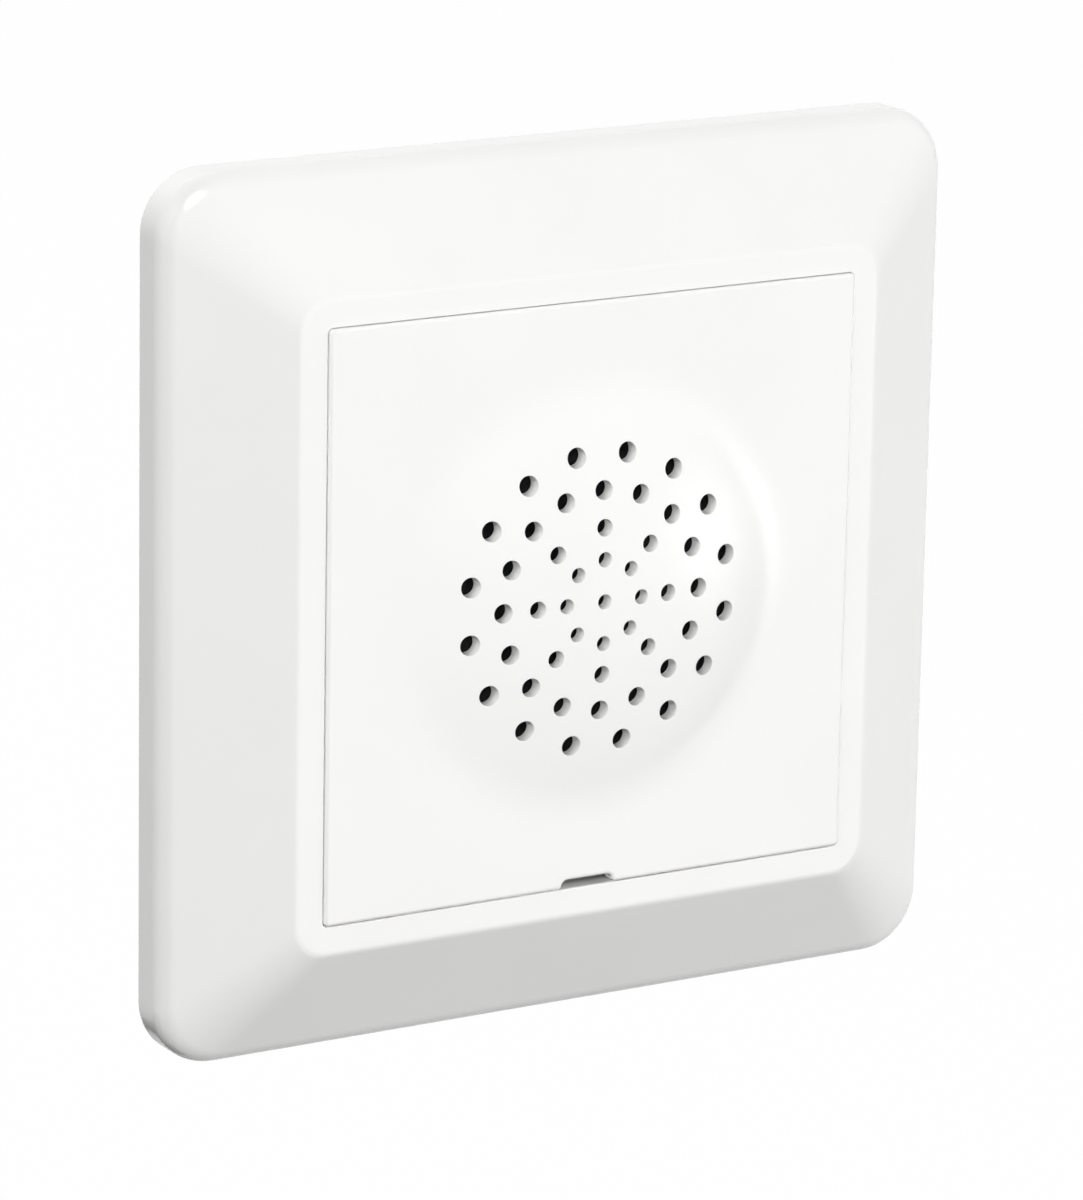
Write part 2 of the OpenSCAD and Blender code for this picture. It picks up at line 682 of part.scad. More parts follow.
// A wire from a loudspeaker tag, round a half turn and up to the board
module speaker_lead(x) translate([x, 0, 0]) {
    translate([0, lead_y, 0]) rod(2 * lead_r, lead_back - tiny, basket_back - 0.9);
    translate([0, lead_y + 2 * lead_bend, 0]) rod(2 * lead_r, lead_back - tiny, board_back);
    translate([0, lead_y + lead_bend, lead_back]) rotate([0, -90, 0]) rotate(90)
        rotate_extrude(angle = 180) translate([lead_bend, 0]) circle(lead_r);
}

module speaker_lead_red() color("red") wall_view() speaker_lead(tag_x);

module speaker_lead_black() color("black") wall_view() speaker_lead(-tag_x);

module circuit_board() color("darkgreen") wall_view() translate([0, 0, board_back])
    linear_extrude(board_t) difference() {
        union() {
            square([board_w, 2 * board_arm_y], center = true);
            square([2 * board_arm_x, board_w], center = true);
        }
        circle(board_hole_r);
    }

// Places a part on the board's back, between the loudspeaker and the cup's wall
module on_board(a) rotate(a) translate([part_ring_r, 0, board_back]) mirror([0, 0, 1]) children();

module capacitors() color("midnightblue") wall_view() for (a = [45, 135]) on_board(a) rotate_extrude()
    polygon([[0, 0], [capacitor_d / 2, 0], [capacitor_d / 2, 1.6], [capacitor_d / 2 - 0.3, 2],
        [capacitor_d / 2, 2.4], [capacitor_d / 2, capacitor_l - 0.4],
        [capacitor_d / 2 - 0.4, capacitor_l], [0, capacitor_l]]);

module rectifier() color("#202020") wall_view() on_board(225)
    translate([-chip_w / 2, -chip_w / 2, 0]) difference() {
        cube([chip_w, chip_w, chip_t]);
        translate([0, 0, chip_t]) rotate([0, 45, 0]) cube([1, 3 * chip_w, 1], center = true);
    }

module chip() difference() {
    translate([-chip_w / 2, -chip_l / 2, leg_t]) cube([chip_w, chip_l, chip_t]);
    translate([0, -chip_l / 2, chip_t]) cylinder(r = chip_mark_r, h = cut);
}

module melody_chip() color("#202020") wall_view() on_board(180) chip();

module amplifier_chip() color("#202020") wall_view() on_board(0) chip();

module chip_legs() color("silver") wall_view() for (a = [0, 180]) on_board(a)
    for (s = [-1, 1]) for (k = [-1.5:1.5])
        translate([s * (chip_w + leg_t) / 2, k * chip_l / 5, leg_l / 2])
            cube([leg_t, leg_w, leg_l], center = true);

module resistors() color("peru") wall_view() for (k = [-1:1]) on_board(315)
    translate([-resistor_l / 2, k * resistor_pitch, resistor_d / 2]) rotate([0, 90, 0])
        cylinder(d = resistor_d, h = resistor_l);

module volume_trimmer_body() color("royalblue") wall_view() translate([control_x, control_y, 0])
    difference() {
        translate([-control_w / 2, -control_w / 2, board_front])
            cube([control_w, control_w, trimmer_top - board_front]);
        rod(rotor_stem_d + 2 * running_fit, board_front + body_gap, trimmer_top + cut);
    }

module volume_trimmer_rotor() color("ivory") wall_view() translate([control_x, control_y, 0])
    difference() {
        union() {
            rod(rotor_stem_d, board_front + 2 * body_gap, trimmer_top + seat_gap + tiny);
            rod(rotor_d, trimmer_top + seat_gap, rotor_top);
        }
        translate([0, 0, rotor_top]) cube([rotor_d + cut, slot_tool_w, slot_tool_w], center = true);
    }

module tune_switch_body() color("#282828") wall_view() translate([-control_x, control_y, 0])
    difference() {
        translate([-control_w / 2, -control_w / 2, board_front])
            cube([control_w, control_w, carrier_front - board_front]);
        rod(button_d + 2 * running_fit, board_front + body_gap, carrier_front + cut);
    }

module tune_button() color("crimson") wall_view() translate([-control_x, control_y, 0])
    rod(button_d, board_front + 2 * body_gap + button_travel, carrier_front + button_rise);

// Seen from behind, one pole has a cage on a screw, drawn towards the screw's head
module terminal_block() color("gainsboro") wall_view() difference() {
    union() {
        translate([-block_w / 2, block_bottom, block_back])
            cube([block_w, block_top - block_bottom, block_depth]);
        for (y = peg_ys) translate([0, y, 0]) rod(peg_d, block_front - tiny, cup_floor);
    }
    both_sides(pole_pitch / 2, 0) {
        translate([-chamber_w / 2, chamber_bottom, chamber_back])
            cube([chamber_w, chamber_top - chamber_bottom, block_depth]);
        translate([0, wire_y, 0]) {
            rod(wire_d, block_back - cut, chamber_back + cut);
            translate([0, 0, block_back - tiny])
                cylinder(d1 = wire_d + 2 * funnel_d, d2 = wire_d, h = funnel_d);
        }
        translate([0, 0, cage_z]) rotate([-90, 0, 0]) {
            rod(clamp_d + 2 * running_fit, block_bottom - cut, chamber_bottom + cut);
            rod(clamp_head_d + 2 * running_fit, block_bottom - cut, head_top + seat_gap);
        }
    }
}

module contact_strips() color("gold") wall_view() both_sides(pole_pitch / 2, strip_bottom)
    translate([-strip_w / 2, 0, chamber_back]) cube([strip_w, strip_t, board_back - chamber_back]);

module clamp_screw(side) translate([side * pole_pitch / 2, 0, cage_z]) rotate([-90, 0, 0]) difference() {
    union() {
        rod(clamp_d, head_top - tiny, window_bottom);
        rod(clamp_head_d, head_top - head_h, head_top);
    }
    translate([0, 0, head_top - head_h])
        cube([clamp_head_d + cut, slot_tool_w, 2 * slot_tool_w], center = true);
}

module clamp_cage(side) translate([side * pole_pitch / 2, 0, cage_z]) difference() {
    translate([-cage_w / 2, cage_bottom, -cage_l / 2]) cube([cage_w, cage_top - cage_bottom, cage_l]);
    translate([cage_wall - cage_w / 2, window_bottom, -cage_l / 2 - cut])
        cube([cage_w - 2 * cage_wall, window_top - window_bottom, cage_l + 2 * cut]);
    rotate([-90, 0, 0]) rod(clamp_d + 2 * running_fit, cage_bottom - cut, window_bottom + cut);
}

module clamp_screw_left() color("silver") wall_view() clamp_screw(-1);

module clamp_screw_right() color("silver") wall_view() clamp_screw(1);

module clamp_cage_left() color("gold") wall_view() clamp_cage(-1);

module clamp_cage_right() color("gold") wall_view() clamp_cage(1);

cover_frame();
centre_plate();
carrier();
housing();
support_plate();
assembly_screws();
speaker_gasket();
speaker_basket();
speaker_surround();
speaker_cone();
speaker_dust_cap();
voice_coil_former();
voice_coil_winding();
speaker_spider();
speaker_top_plate();
speaker_magnet();
speaker_yoke();
speaker_screws();
speaker_tag_strip();
speaker_tags();
speaker_lead_red();
speaker_lead_black();
circuit_board();
capacitors();
rectifier();
melody_chip();
amplifier_chip();
chip_legs();
resistors();
volume_trimmer_body();
volume_trimmer_rotor();
tune_switch_body();
tune_button();
terminal_block();
contact_strips();
clamp_screw_left();
clamp_screw_right();
clamp_cage_left();
clamp_cage_right();
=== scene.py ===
import json
import math
from itertools import product

import bmesh
import bpy
from mathutils import Matrix, Vector
from mathutils.geometry import delaunay_2d_cdt


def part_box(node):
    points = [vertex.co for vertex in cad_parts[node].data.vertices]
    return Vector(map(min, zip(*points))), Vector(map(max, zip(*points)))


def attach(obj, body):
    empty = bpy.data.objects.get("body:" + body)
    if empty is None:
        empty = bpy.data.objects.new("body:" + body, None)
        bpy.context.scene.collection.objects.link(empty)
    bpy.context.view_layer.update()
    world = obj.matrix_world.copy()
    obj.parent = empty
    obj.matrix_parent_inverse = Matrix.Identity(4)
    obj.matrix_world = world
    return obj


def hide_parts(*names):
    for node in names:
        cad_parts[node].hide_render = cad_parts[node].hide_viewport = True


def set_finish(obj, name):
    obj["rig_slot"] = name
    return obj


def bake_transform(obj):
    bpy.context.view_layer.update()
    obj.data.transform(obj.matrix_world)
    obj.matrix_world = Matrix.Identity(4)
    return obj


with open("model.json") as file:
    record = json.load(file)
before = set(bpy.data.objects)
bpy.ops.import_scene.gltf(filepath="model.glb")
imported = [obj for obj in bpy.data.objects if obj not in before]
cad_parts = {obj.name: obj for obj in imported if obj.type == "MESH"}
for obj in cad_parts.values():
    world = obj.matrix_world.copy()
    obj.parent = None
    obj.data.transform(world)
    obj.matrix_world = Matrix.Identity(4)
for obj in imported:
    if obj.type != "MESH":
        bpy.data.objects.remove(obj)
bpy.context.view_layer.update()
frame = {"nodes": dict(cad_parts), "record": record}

scene = bpy.context.scene
cadNodes = frame["nodes"]
mm = 0.001
weldDistance = 0.002 * mm
print("frame loaded,", len(cadNodes), "nodes")


# Camera, at the photograph's angle

cameraView = {
    "azimuth": -30.87,         # degrees, 0 looks straight at the front
    "elevation": 14.92,
    "roll": 1.06,
    "distance": 580 * mm,
    "target": Vector((-5.30, -10, 0.30)) * mm,
    "focalPixels": 6417,
    "imageHeight": 1200,       # pixels
    "sensorHeight": 36,        # millimetres
    "clipStart": 10 * mm,
}


def wayTo(place):
    # from the part's middle outwards, by azimuth and elevation in degrees
    azimuth, elevation = math.radians(place["azimuth"]), math.radians(place["elevation"])
    return Vector((math.sin(azimuth) * math.cos(elevation), -math.cos(azimuth) * math.cos(elevation),
                   math.sin(elevation)))


def placeCamera(view):
    back = wayTo(view)
    right = Vector((0, 0, 1)).cross(back).normalized()
    roll = Matrix.Rotation(math.radians(view["roll"]), 3, back)
    right = roll @ right
    up = back.cross(right)
    data = bpy.data.cameras.new("photoCamera")
    data.sensor_fit = "VERTICAL"
    data.sensor_height = view["sensorHeight"]
    data.lens = view["focalPixels"] / view["imageHeight"] * view["sensorHeight"]
    data.clip_start = view["clipStart"]
    camera = bpy.data.objects.new("photoCamera", data)
    scene.collection.objects.link(camera)
    turn = Matrix((right, up, back)).transposed()
    camera.matrix_world = Matrix.Translation(view["target"] + back * view["distance"]) @ turn.to_4x4()
    scene.camera = camera


placeCamera(cameraView)
scene.view_settings.view_transform = "Standard"
print("camera placed")


# Node helpers, for materials and for geometry trees

def addNode(tree, kind, inputs=None, **settings):
    node = tree.nodes.new(kind)
    for key, value in settings.items():
        setattr(node, key, value)
    for key, value in (inputs or {}).items():
        if isinstance(value, bpy.types.NodeSocket):
            tree.links.new(value, node.inputs[key])
        else:
            node.inputs[key].default_value = value
    return node


def calc(tree, operation, *values):
    return addNode(tree, "ShaderNodeMath", dict(enumerate(values)), operation=operation).outputs[0]


def startMaterial(name, **sockets):
    material = bpy.data.materials.new(name)
    material.use_nodes = True
    tree = material.node_tree
    shader = tree.nodes["Principled BSDF"]
    for key, value in sockets.items():
        shader.inputs[key.replace("_", " ")].default_value = value
    place = addNode(tree, "ShaderNodeTexCoord").outputs["Object"]
    return material, tree, shader, place


def noise(tree, place, size, detail=3.0, stretch=None):
    # size is the grain's width in metres
    if stretch:
        place = addNode(tree, "ShaderNodeMapping", {"Vector": place, "Scale": stretch}).outputs["Vector"]
    sizes = {"Vector": place, "Scale": 1 / size, "Detail": detail}
    return addNode(tree, "ShaderNodeTexNoise", sizes).outputs["Fac"]


def between(tree, amount, low, high, start=0.3, end=0.7):
    sizes = {"Value": amount, "From Min": start, "From Max": end, "To Min": low, "To Max": high}
    return addNode(tree, "ShaderNodeMapRange", sizes).outputs["Result"]


def blendColours(tree, amount, first, second):
    ends = [end if isinstance(end, bpy.types.NodeSocket) else (*end, 1) for end in (first, second)]
    return addNode(tree, "ShaderNodeMix", {0: amount, 6: ends[0], 7: ends[1]}, data_type="RGBA").outputs[2]


def tint(tree, amount, dark, light, start=0.3, end=0.7):
    return blendColours(tree, between(tree, amount, 0, 1, start, end), dark, light)


def bump(tree, height, depth, strength=1.0):
    sizes = {"Height": height, "Distance": depth, "Strength": strength}
    return addNode(tree, "ShaderNodeBump", sizes).outputs["Normal"]


def shade(colour, factor):
    return tuple(channel * factor for channel in colour)


def dress(tree, shader, colour, rough, normal):
    for key, value in (("Base Color", colour), ("Roughness", rough), ("Normal", normal)):
        tree.links.new(value, shader.inputs[key])


# Finishes

plasticIor = 1.5

whiteLook = {
    "dark": (0.885, 0.885, 0.875),
    "light": (0.905, 0.905, 0.895),
    "cloud": 14 * mm,          # width of the faint clouds between the two
    "speckColour": (0.45, 0.43, 0.38),
    "speckStrength": 0.5,
    "speckCells": 95,          # cells to the metre, each with a speck or none
    "speckRadius": 0.011,      # in widths of a cell
    "speckless": 0.72,         # share of the cells with none
    "rough": (0.14, 0.2),
    "roughCloud": 2.5 * mm,
    "ripple": 1.1 * mm,        # width of the skin's ripple
    "rippleDepth": 0.004 * mm,
}


def whitePlastic(name, look):
    # smooth injection-moulded white, with a few specks in the resin
    material, tree, shader, place = startMaterial(name, IOR=plasticIor)
    specks = addNode(tree, "ShaderNodeTexVoronoi", {"Vector": place, "Scale": look["speckCells"]})
    chosen = addNode(tree, "ShaderNodeSeparateColor", {"Color": specks.outputs["Color"]}).outputs["Red"]
    near = calc(tree, "LESS_THAN", specks.outputs["Distance"], look["speckRadius"])
    isSpeck = calc(tree, "MULTIPLY", near, calc(tree, "GREATER_THAN", chosen, look["speckless"]))
    body = tint(tree, noise(tree, place, look["cloud"]), look["dark"], look["light"])
    spotted = calc(tree, "MULTIPLY", isSpeck, look["speckStrength"])
    colour = blendColours(tree, spotted, body, look["speckColour"])
    rough = between(tree, noise(tree, place, look["roughCloud"]), *look["rough"])
    dress(tree, shader, colour, rough, bump(tree, noise(tree, place, look["ripple"], 2), look["rippleDepth"]))
    return material


def mouldedPlastic(name, colour, rough=0.42, grain=0.25, depth=0.01):
    # spark-eroded mould texture; grain and depth in millimetres
    material, tree, shader, place = startMaterial(name, IOR=plasticIor)
    cloud = noise(tree, place, 6 * mm)
    fine = noise(tree, place, grain * mm, 4)
    dress(tree, shader, tint(tree, cloud, shade(colour, 0.92), shade(colour, 1.07)),
          between(tree, fine, rough - 0.06, rough + 0.08), bump(tree, fine, depth * mm))
    return material


def platedMetal(name, colour, rough=0.3, cast=(1.04, 1.0, 0.9), grain=(1, 1, 14)):
    # electroplated sheet or wire: faint rolling lines and a passivated colour cast
    material, tree, shader, place = startMaterial(name, Metallic=1.0)
    cloud = noise(tree, place, 5 * mm, 5)
    lines = noise(tree, place, 2.2 * mm, 4, grain)
    warm = tuple(channel * factor for channel, factor in zip(colour, cast))
    dress(tree, shader, tint(tree, cloud, shade(colour, 0.9), warm),
          between(tree, lines, rough - 0.08, rough + 0.12), bump(tree, lines, 0.004 * mm))
    return material


def fibrous(name, colour, fibre=0.35, depth=0.03, rough=0.85):
    # pulp, cloth or bonded fibre
    material, tree, shader, place = startMaterial(name)
    strands = noise(tree, place, fibre * mm, 6)
    crossed = noise(tree, place, fibre * mm, 4, (4, 1, 1))
    mesh = calc(tree, "MAXIMUM", strands, crossed)
    dress(tree, shader, tint(tree, mesh, shade(colour, 0.6), shade(colour, 1.35), 0.4, 0.75),
          between(tree, strands, rough - 0.1, rough + 0.08), bump(tree, mesh, depth * mm))
    return material


def softRubber(name, colour, rough=0.6, pore=0.4, depth=0.01):
    # rubber skin or closed-cell foam, by the size of its pores
    material, tree, shader, place = startMaterial(name, Specular_IOR_Level=0.35)
    cells = addNode(tree, "ShaderNodeTexVoronoi", {"Vector": place, "Scale": 1 / (pore * mm)})
    dust = noise(tree, place, 4 * mm)
    dress(tree, shader, tint(tree, dust, shade(colour, 0.8), shade(colour, 1.5)),
          between(tree, dust, rough - 0.05, rough + 0.1), bump(tree, cells.outputs["Distance"], depth * mm))
    return material


def lacqueredBoard(name, colour):
    # solder lacquer over copper tracks
    material, tree, shader, place = startMaterial(name, Coat_Weight=0.3, Coat_Roughness=0.2)
    tracks = addNode(tree, "ShaderNodeTexBrick", {
        "Vector": place, "Scale": 260, "Mortar Size": 0.012,
        "Color1": (*shade(colour, 1.6), 1), "Color2": (*shade(colour, 1.35), 1), "Mortar": (*colour, 1)})
    weave = noise(tree, place, 0.5 * mm, 4)
    dress(tree, shader, tracks.outputs["Color"], between(tree, weave, 0.3, 0.45),
          bump(tree, tracks.outputs["Fac"], 0.02 * mm, 0.6))
    return material


def sinteredMagnet(name, colour):
    # ground ferrite with pores
    material, tree, shader, place = startMaterial(name)
    grit = noise(tree, place, 0.3 * mm, 8)
    dress(tree, shader, tint(tree, grit, shade(colour, 0.6), shade(colour, 1.5)),
          between(tree, grit, 0.45, 0.7), bump(tree, grit, 0.02 * mm))
    return material


looks = {                      # by material slot
    "white_plastic": (whitePlastic, whiteLook),
    "carrier_plastic": (mouldedPlastic, (0.42, 0.43, 0.44), 0.5),
    "housing_plastic": (mouldedPlastic, (0.2, 0.205, 0.215), 0.48),
    "zinc_steel": (platedMetal, (0.70, 0.71, 0.73)),
    "screw_steel": (platedMetal, (0.73, 0.70, 0.62), 0.26),
    "black_foam": (softRubber, (0.02, 0.02, 0.021), 0.85, 0.3, 0.05),
    "black_enamel": (mouldedPlastic, (0.03, 0.03, 0.034), 0.3, 0.6, 0.006),
    "surround_rubber": (softRubber, (0.018, 0.018, 0.018), 0.5),
    "cone_paper": (fibrous, (0.022, 0.022, 0.024)),
    "former_paper": (fibrous, (0.5, 0.33, 0.17), 0.35, 0.03, 0.55),
    "copper_wire": (platedMetal, (0.72, 0.36, 0.18), 0.25, (1.05, 0.95, 0.85), (1, 30, 1)),
    "spider_cloth": (fibrous, (0.55, 0.42, 0.22), 0.5, 0.05),
    "ferrite": (sinteredMagnet, (0.06, 0.06, 0.065)),
    "fibre_board": (fibrous, (0.3, 0.15, 0.075), 0.35, 0.03, 0.7),
    "tinned_brass": (platedMetal, (0.78, 0.70, 0.48), 0.28),
    "red_insulation": (mouldedPlastic, (0.5, 0.03, 0.03), 0.35, 0.4, 0.004),
    "black_insulation": (mouldedPlastic, (0.025, 0.025, 0.026), 0.35, 0.4, 0.004),
    "green_board": (lacqueredBoard, (0.02, 0.13, 0.05)),
    "capacitor_sleeve": (mouldedPlastic, (0.03, 0.035, 0.09), 0.25, 0.8, 0.004),
    "chip_resin": (mouldedPlastic, (0.03, 0.03, 0.032), 0.55, 0.15),
    "resistor_lacquer": (mouldedPlastic, (0.55, 0.36, 0.18), 0.28, 0.9),
    "trimmer_blue": (mouldedPlastic, (0.04, 0.13, 0.42), 0.34, 0.5, 0.005),
    "rotor_ivory": (mouldedPlastic, (0.78, 0.74, 0.62), 0.34, 0.5, 0.005),
    "switch_black": (mouldedPlastic, (0.025, 0.025, 0.026), 0.45, 0.2),
    "button_red": (mouldedPlastic, (0.5, 0.035, 0.03), 0.32, 0.5, 0.005),
    "terminal_plastic": (mouldedPlastic, (0.62, 0.62, 0.60), 0.42, 0.2, 0.006),
}


def camelName(name):
    first, *rest = name.split("_")
    return first + "".join(word.capitalize() for word in rest)


finishes = {slot: make(camelName(slot), *values) for slot, (make, *values) in looks.items()}
print("finishes made,", len(finishes))


# Mesh helpers. Points are given as seen on the wall: x right, y up, z out of the wall, in millimetres

cutOver = 1.0                  # how far a cutting box runs past what it cuts


def wallPoint(x, y, z):
    return Vector((x, -z, y)) * mm


def levelsOf(box):
    # a box's lowest and highest level above the wall
    return -box[1].y / mm, -box[0].y / mm


def newPiece(name, points, faces, slot):
    mesh = bpy.data.meshes.new(name)
    mesh.from_pydata([tuple(point) for point in points], [], faces)
    mesh.materials.append(finishes[slot])
    piece = bpy.data.objects.new(name, mesh)
    scene.collection.objects.link(piece)
    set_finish(piece, slot)
    return piece


def weld(piece):
    shape = bmesh.new()
    shape.from_mesh(piece.data)
    bmesh.ops.remove_doubles(shape, verts=shape.verts, dist=weldDistance)
    bmesh.ops.recalc_face_normals(shape, faces=shape.faces)
    shape.to_mesh(piece.data)
    shape.free()


def smooth(piece, sharpAngle=36):
    piece.data.shade_smooth()
    piece.data.set_sharp_from_angle(angle=math.radians(sharpAngle))


def bake(piece):
    # turns the modifiers' result into the piece's own plain mesh
    graph = bpy.context.evaluated_depsgraph_get()
    mesh = bpy.data.meshes.new_from_object(piece.evaluated_get(graph), depsgraph=graph)
    piece.modifiers.clear()
    mesh.name = piece.name
    piece.data = mesh


def softenEdges(piece, width, sharpAngle=36):
    # rounds the sharp edges by a width in millimetres, with the flats kept flat
    bevel = piece.modifiers.new("edges", "BEVEL")
    bevel.width = width * mm
    bevel.segments = 3
    bevel.limit_method = "ANGLE"
    bevel.angle_limit = math.radians(sharpAngle)
    bake(piece)
    smooth(piece, sharpAngle=42)
    flats = piece.modifiers.new("flats", "WEIGHTED_NORMAL")
    flats.keep_sharp = True
    flats.weight = 100
    bake(piece)


def arc(x, z, radius, start, end, steps):
    angles = [math.radians(start + (end - start) * i / steps) for i in range(steps + 1)]
    return [(x + radius * math.cos(a), z + radius * math.sin(a)) for a in angles]


def bridge(rings, closed):
    # quads between rings of points that have the same count
    count = len(rings[0])
    last = len(rings) if closed else len(rings) - 1
    faces = []
    for k in range(last):
        for j in range(count):
            here, there = k * count, (k + 1) % len(rings) * count
            after = (j + 1) % count
            faces.append((here + j, here + after, there + after, there + j))
    return [point for ring in rings for point in ring], faces


def lathe(name, profile, steps, slot, closed=True):
    # profile holds radius and height of each point, turned round the wall's normal
    rings = []
    for radius, z in profile:
        angles = [2 * math.pi * j / steps for j in range(steps)]
        rings.append([wallPoint(radius * math.cos(a), radius * math.sin(a), z) for a in angles])
    piece = newPiece(name, *bridge(rings, closed), slot)
    weld(piece)
    return piece


def cutBox(piece, low, high, turn=0):
    # takes a box out of the piece, turned by degrees round the wall's normal
    spin = Matrix.Rotation(math.radians(turn), 3, "Y")
    corners = [spin @ wallPoint(*corner) for corner in product(*zip(low, high))]
    sides = [(0, 1, 3, 2), (4, 6, 7, 5), (0, 4, 5, 1), (2, 3, 7, 6), (0, 2, 6, 4), (1, 5, 7, 3)]
    cutter = newPiece("cutter", corners, sides, "white_plastic")
    weld(cutter)
    cut = piece.modifiers.new("cut", "BOOLEAN")
    cut.object = cutter
    cut.solver = "EXACT"
    bake(piece)
    bpy.data.objects.remove(cutter)


# Geometry trees

def newGroup(name, sizes):
    group = bpy.data.node_groups.new(name, "GeometryNodeTree")
    for label, kind in {"Geometry": "Geometry", **sizes, "Material": "Material"}.items():
        group.interface.new_socket(label, in_out="INPUT", socket_type="NodeSocket" + kind)
    group.interface.new_socket("Geometry", in_out="OUTPUT", socket_type="NodeSocketGeometry")
    return group, addNode(group, "NodeGroupInput").outputs


def endGroup(group, geometry, given):
    plain = addNode(group, "GeometryNodeRealizeInstances", {"Geometry": geometry}).outputs["Geometry"]
    dressed = addNode(group, "GeometryNodeSetMaterial", {"Geometry": plain, "Material": given["Material"]})
    addNode(group, "NodeGroupOutput", {"Geometry": dressed.outputs["Geometry"]})
    return group


def runGroup(piece, group, sizes):
    modifier = piece.modifiers.new(group.name, "NODES")
    modifier.node_group = group
    sizes = {**sizes, "Material": piece.data.materials[0]}
    for item in group.interface.items_tree:
        if item.in_out == "INPUT" and item.name in sizes:
            modifier[item.identifier] = sizes[item.name]
    bake(piece)


def endCopies(group, given, count, x, z, turn=(0, 0, 0)):
    # ends a tree that puts a copy at each place on the wall
    place = addNode(group, "ShaderNodeCombineXYZ", {"X": x, "Z": z}).outputs["Vector"]
    spots = addNode(group, "GeometryNodePoints", {"Count": count, "Position": place}).outputs[0]
    copies = addNode(group, "GeometryNodeInstanceOnPoints", {
        "Points": spots, "Instance": given["Geometry"], "Rotation": turn})
    return endGroup(group, copies.outputs["Instances"], given)


def ringCopiesGroup():
    # copies what comes in round a circle on the wall, each turned with it
    group, given = newGroup("ringCopies", {"Radius": "Float", "Count": "Int", "Shift": "Float"})
    index = addNode(group, "GeometryNodeInputIndex").outputs["Index"]
    step = calc(group, "DIVIDE", 2 * math.pi, given["Count"])
    angle = calc(group, "MULTIPLY", calc(group, "ADD", index, given["Shift"]), step)
    x, z = [calc(group, "MULTIPLY", given["Radius"], calc(group, wave, angle)) for wave in ("COSINE", "SINE")]
    turn = addNode(group, "ShaderNodeCombineXYZ", {"Y": calc(group, "MULTIPLY", angle, -1.0)})
    return endCopies(group, given, given["Count"], x, z, turn.outputs["Vector"])


def cornerCopiesGroup():
    # copies what comes in to the four corners of a rectangle on the wall
    group, given = newGroup("cornerCopies", {"Across": "Float", "Up": "Float"})
    index = addNode(group, "GeometryNodeInputIndex").outputs["Index"]
    column = calc(group, "MULTIPLY_ADD", calc(group, "MODULO", index, 2.0), 2.0, -1.0)
    row = calc(group, "MULTIPLY_ADD", calc(group, "FLOOR", calc(group, "DIVIDE", index, 2.0)), 2.0, -1.0)
    return endCopies(group, given, 4, calc(group, "MULTIPLY", given["Across"], column),
                     calc(group, "MULTIPLY", given["Up"], row))


def domeLiftGroup():
    # lifts a flat sheet into a round dome that blends into the flat round it
    labels = ("Height", "Sphere Radius", "Blend Radius")
    group, given = newGroup("domeLift", {label: "Float" for label in labels})
    height, sphere, fillet = [given[label] for label in labels]

    def minus(first, second):
        return calc(group, "SUBTRACT", first, second)

    def otherLeg(longest, leg):
        # the third side of a right triangle
        squares = [calc(group, "MULTIPLY", side, side) for side in (longest, leg)]
        return calc(group, "SQRT", minus(*squares))

    reach = calc(group, "ADD", sphere, fillet)
    foot = otherLeg(reach, minus(reach, height))
    meet = calc(group, "DIVIDE", calc(group, "MULTIPLY", foot, sphere), reach)
    spot = addNode(group, "GeometryNodeInputPosition").outputs["Position"]
    flat = addNode(group, "ShaderNodeVectorMath", {0: spot, 1: (1.0, 0.0, 1.0)}, operation="MULTIPLY")
    radius = addNode(group, "ShaderNodeVectorMath", {0: flat.outputs[0]}, operation="LENGTH").outputs["Value"]
    cap = minus(otherLeg(sphere, radius), minus(sphere, height))
    outside = calc(group, "MAXIMUM", minus(foot, radius), 0.0)
    skirt = minus(fillet, otherLeg(fillet, outside))
    onCap = calc(group, "LESS_THAN", radius, meet)
    rise = addNode(group, "ShaderNodeMix", {0: onCap, 2: skirt, 3: cap}, data_type="FLOAT").outputs[0]
    offset = addNode(group, "ShaderNodeCombineXYZ", {"Y": calc(group, "MULTIPLY", rise, -1.0)})
    lifted = addNode(group, "GeometryNodeSetPosition", {
        "Geometry": given["Geometry"], "Offset": offset.outputs["Vector"]})
    return endGroup(group, lifted.outputs["Geometry"], given)


ringCopies = ringCopiesGroup()
cornerCopies = cornerCopiesGroup()
domeLift = domeLiftGroup()
print("geometry trees made")


# Cover frame

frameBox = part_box("cover_frame")

coverFrameSize = {
    "half": frameBox[1].x / mm,
    "height": levelsOf(frameBox)[1],
    "sideHeight": 4.0,         # where the bevel would meet the side
    "cornerRadius": 5.75,
    "edgeRadius": 2.5,         # between side and bevel
    "backRadius": 0.1,         # at the wall
    "wall": 2.0,
    "openingHalf": 27.55,
    "openingCorner": 0.55,
    "openingEdge": 0.1,
    "rimWidth": 2.65,
    "rimCorner": 3.1,
    "rimEdge": 1.5,            # between bevel and rim
    "ledgeWidth": 1.15,
    "ledgeTop": 8.75,
    "ledgeThickness": 1.45,
    "support": 0.25,           # strips beside the roundings, which keep the flats flat
    "cornerSteps": 18,
    "backSteps": 4,
    "edgeSteps": 14,
    "rimSteps": 10,
    "openingSteps": 5,
    "reliefWidth": 8.0,        # gap in the ledge behind the pry notch
    "reliefDepth": 2.15,
    "reliefRise": 0.1,
}

ribSize = {
    "thickness": 1.0,
    "fromMiddle": 14.0,
    "foot": 1.8,
    "sink": 0.4,
    "deep": 1.4,
    "edge": 0.12,
}


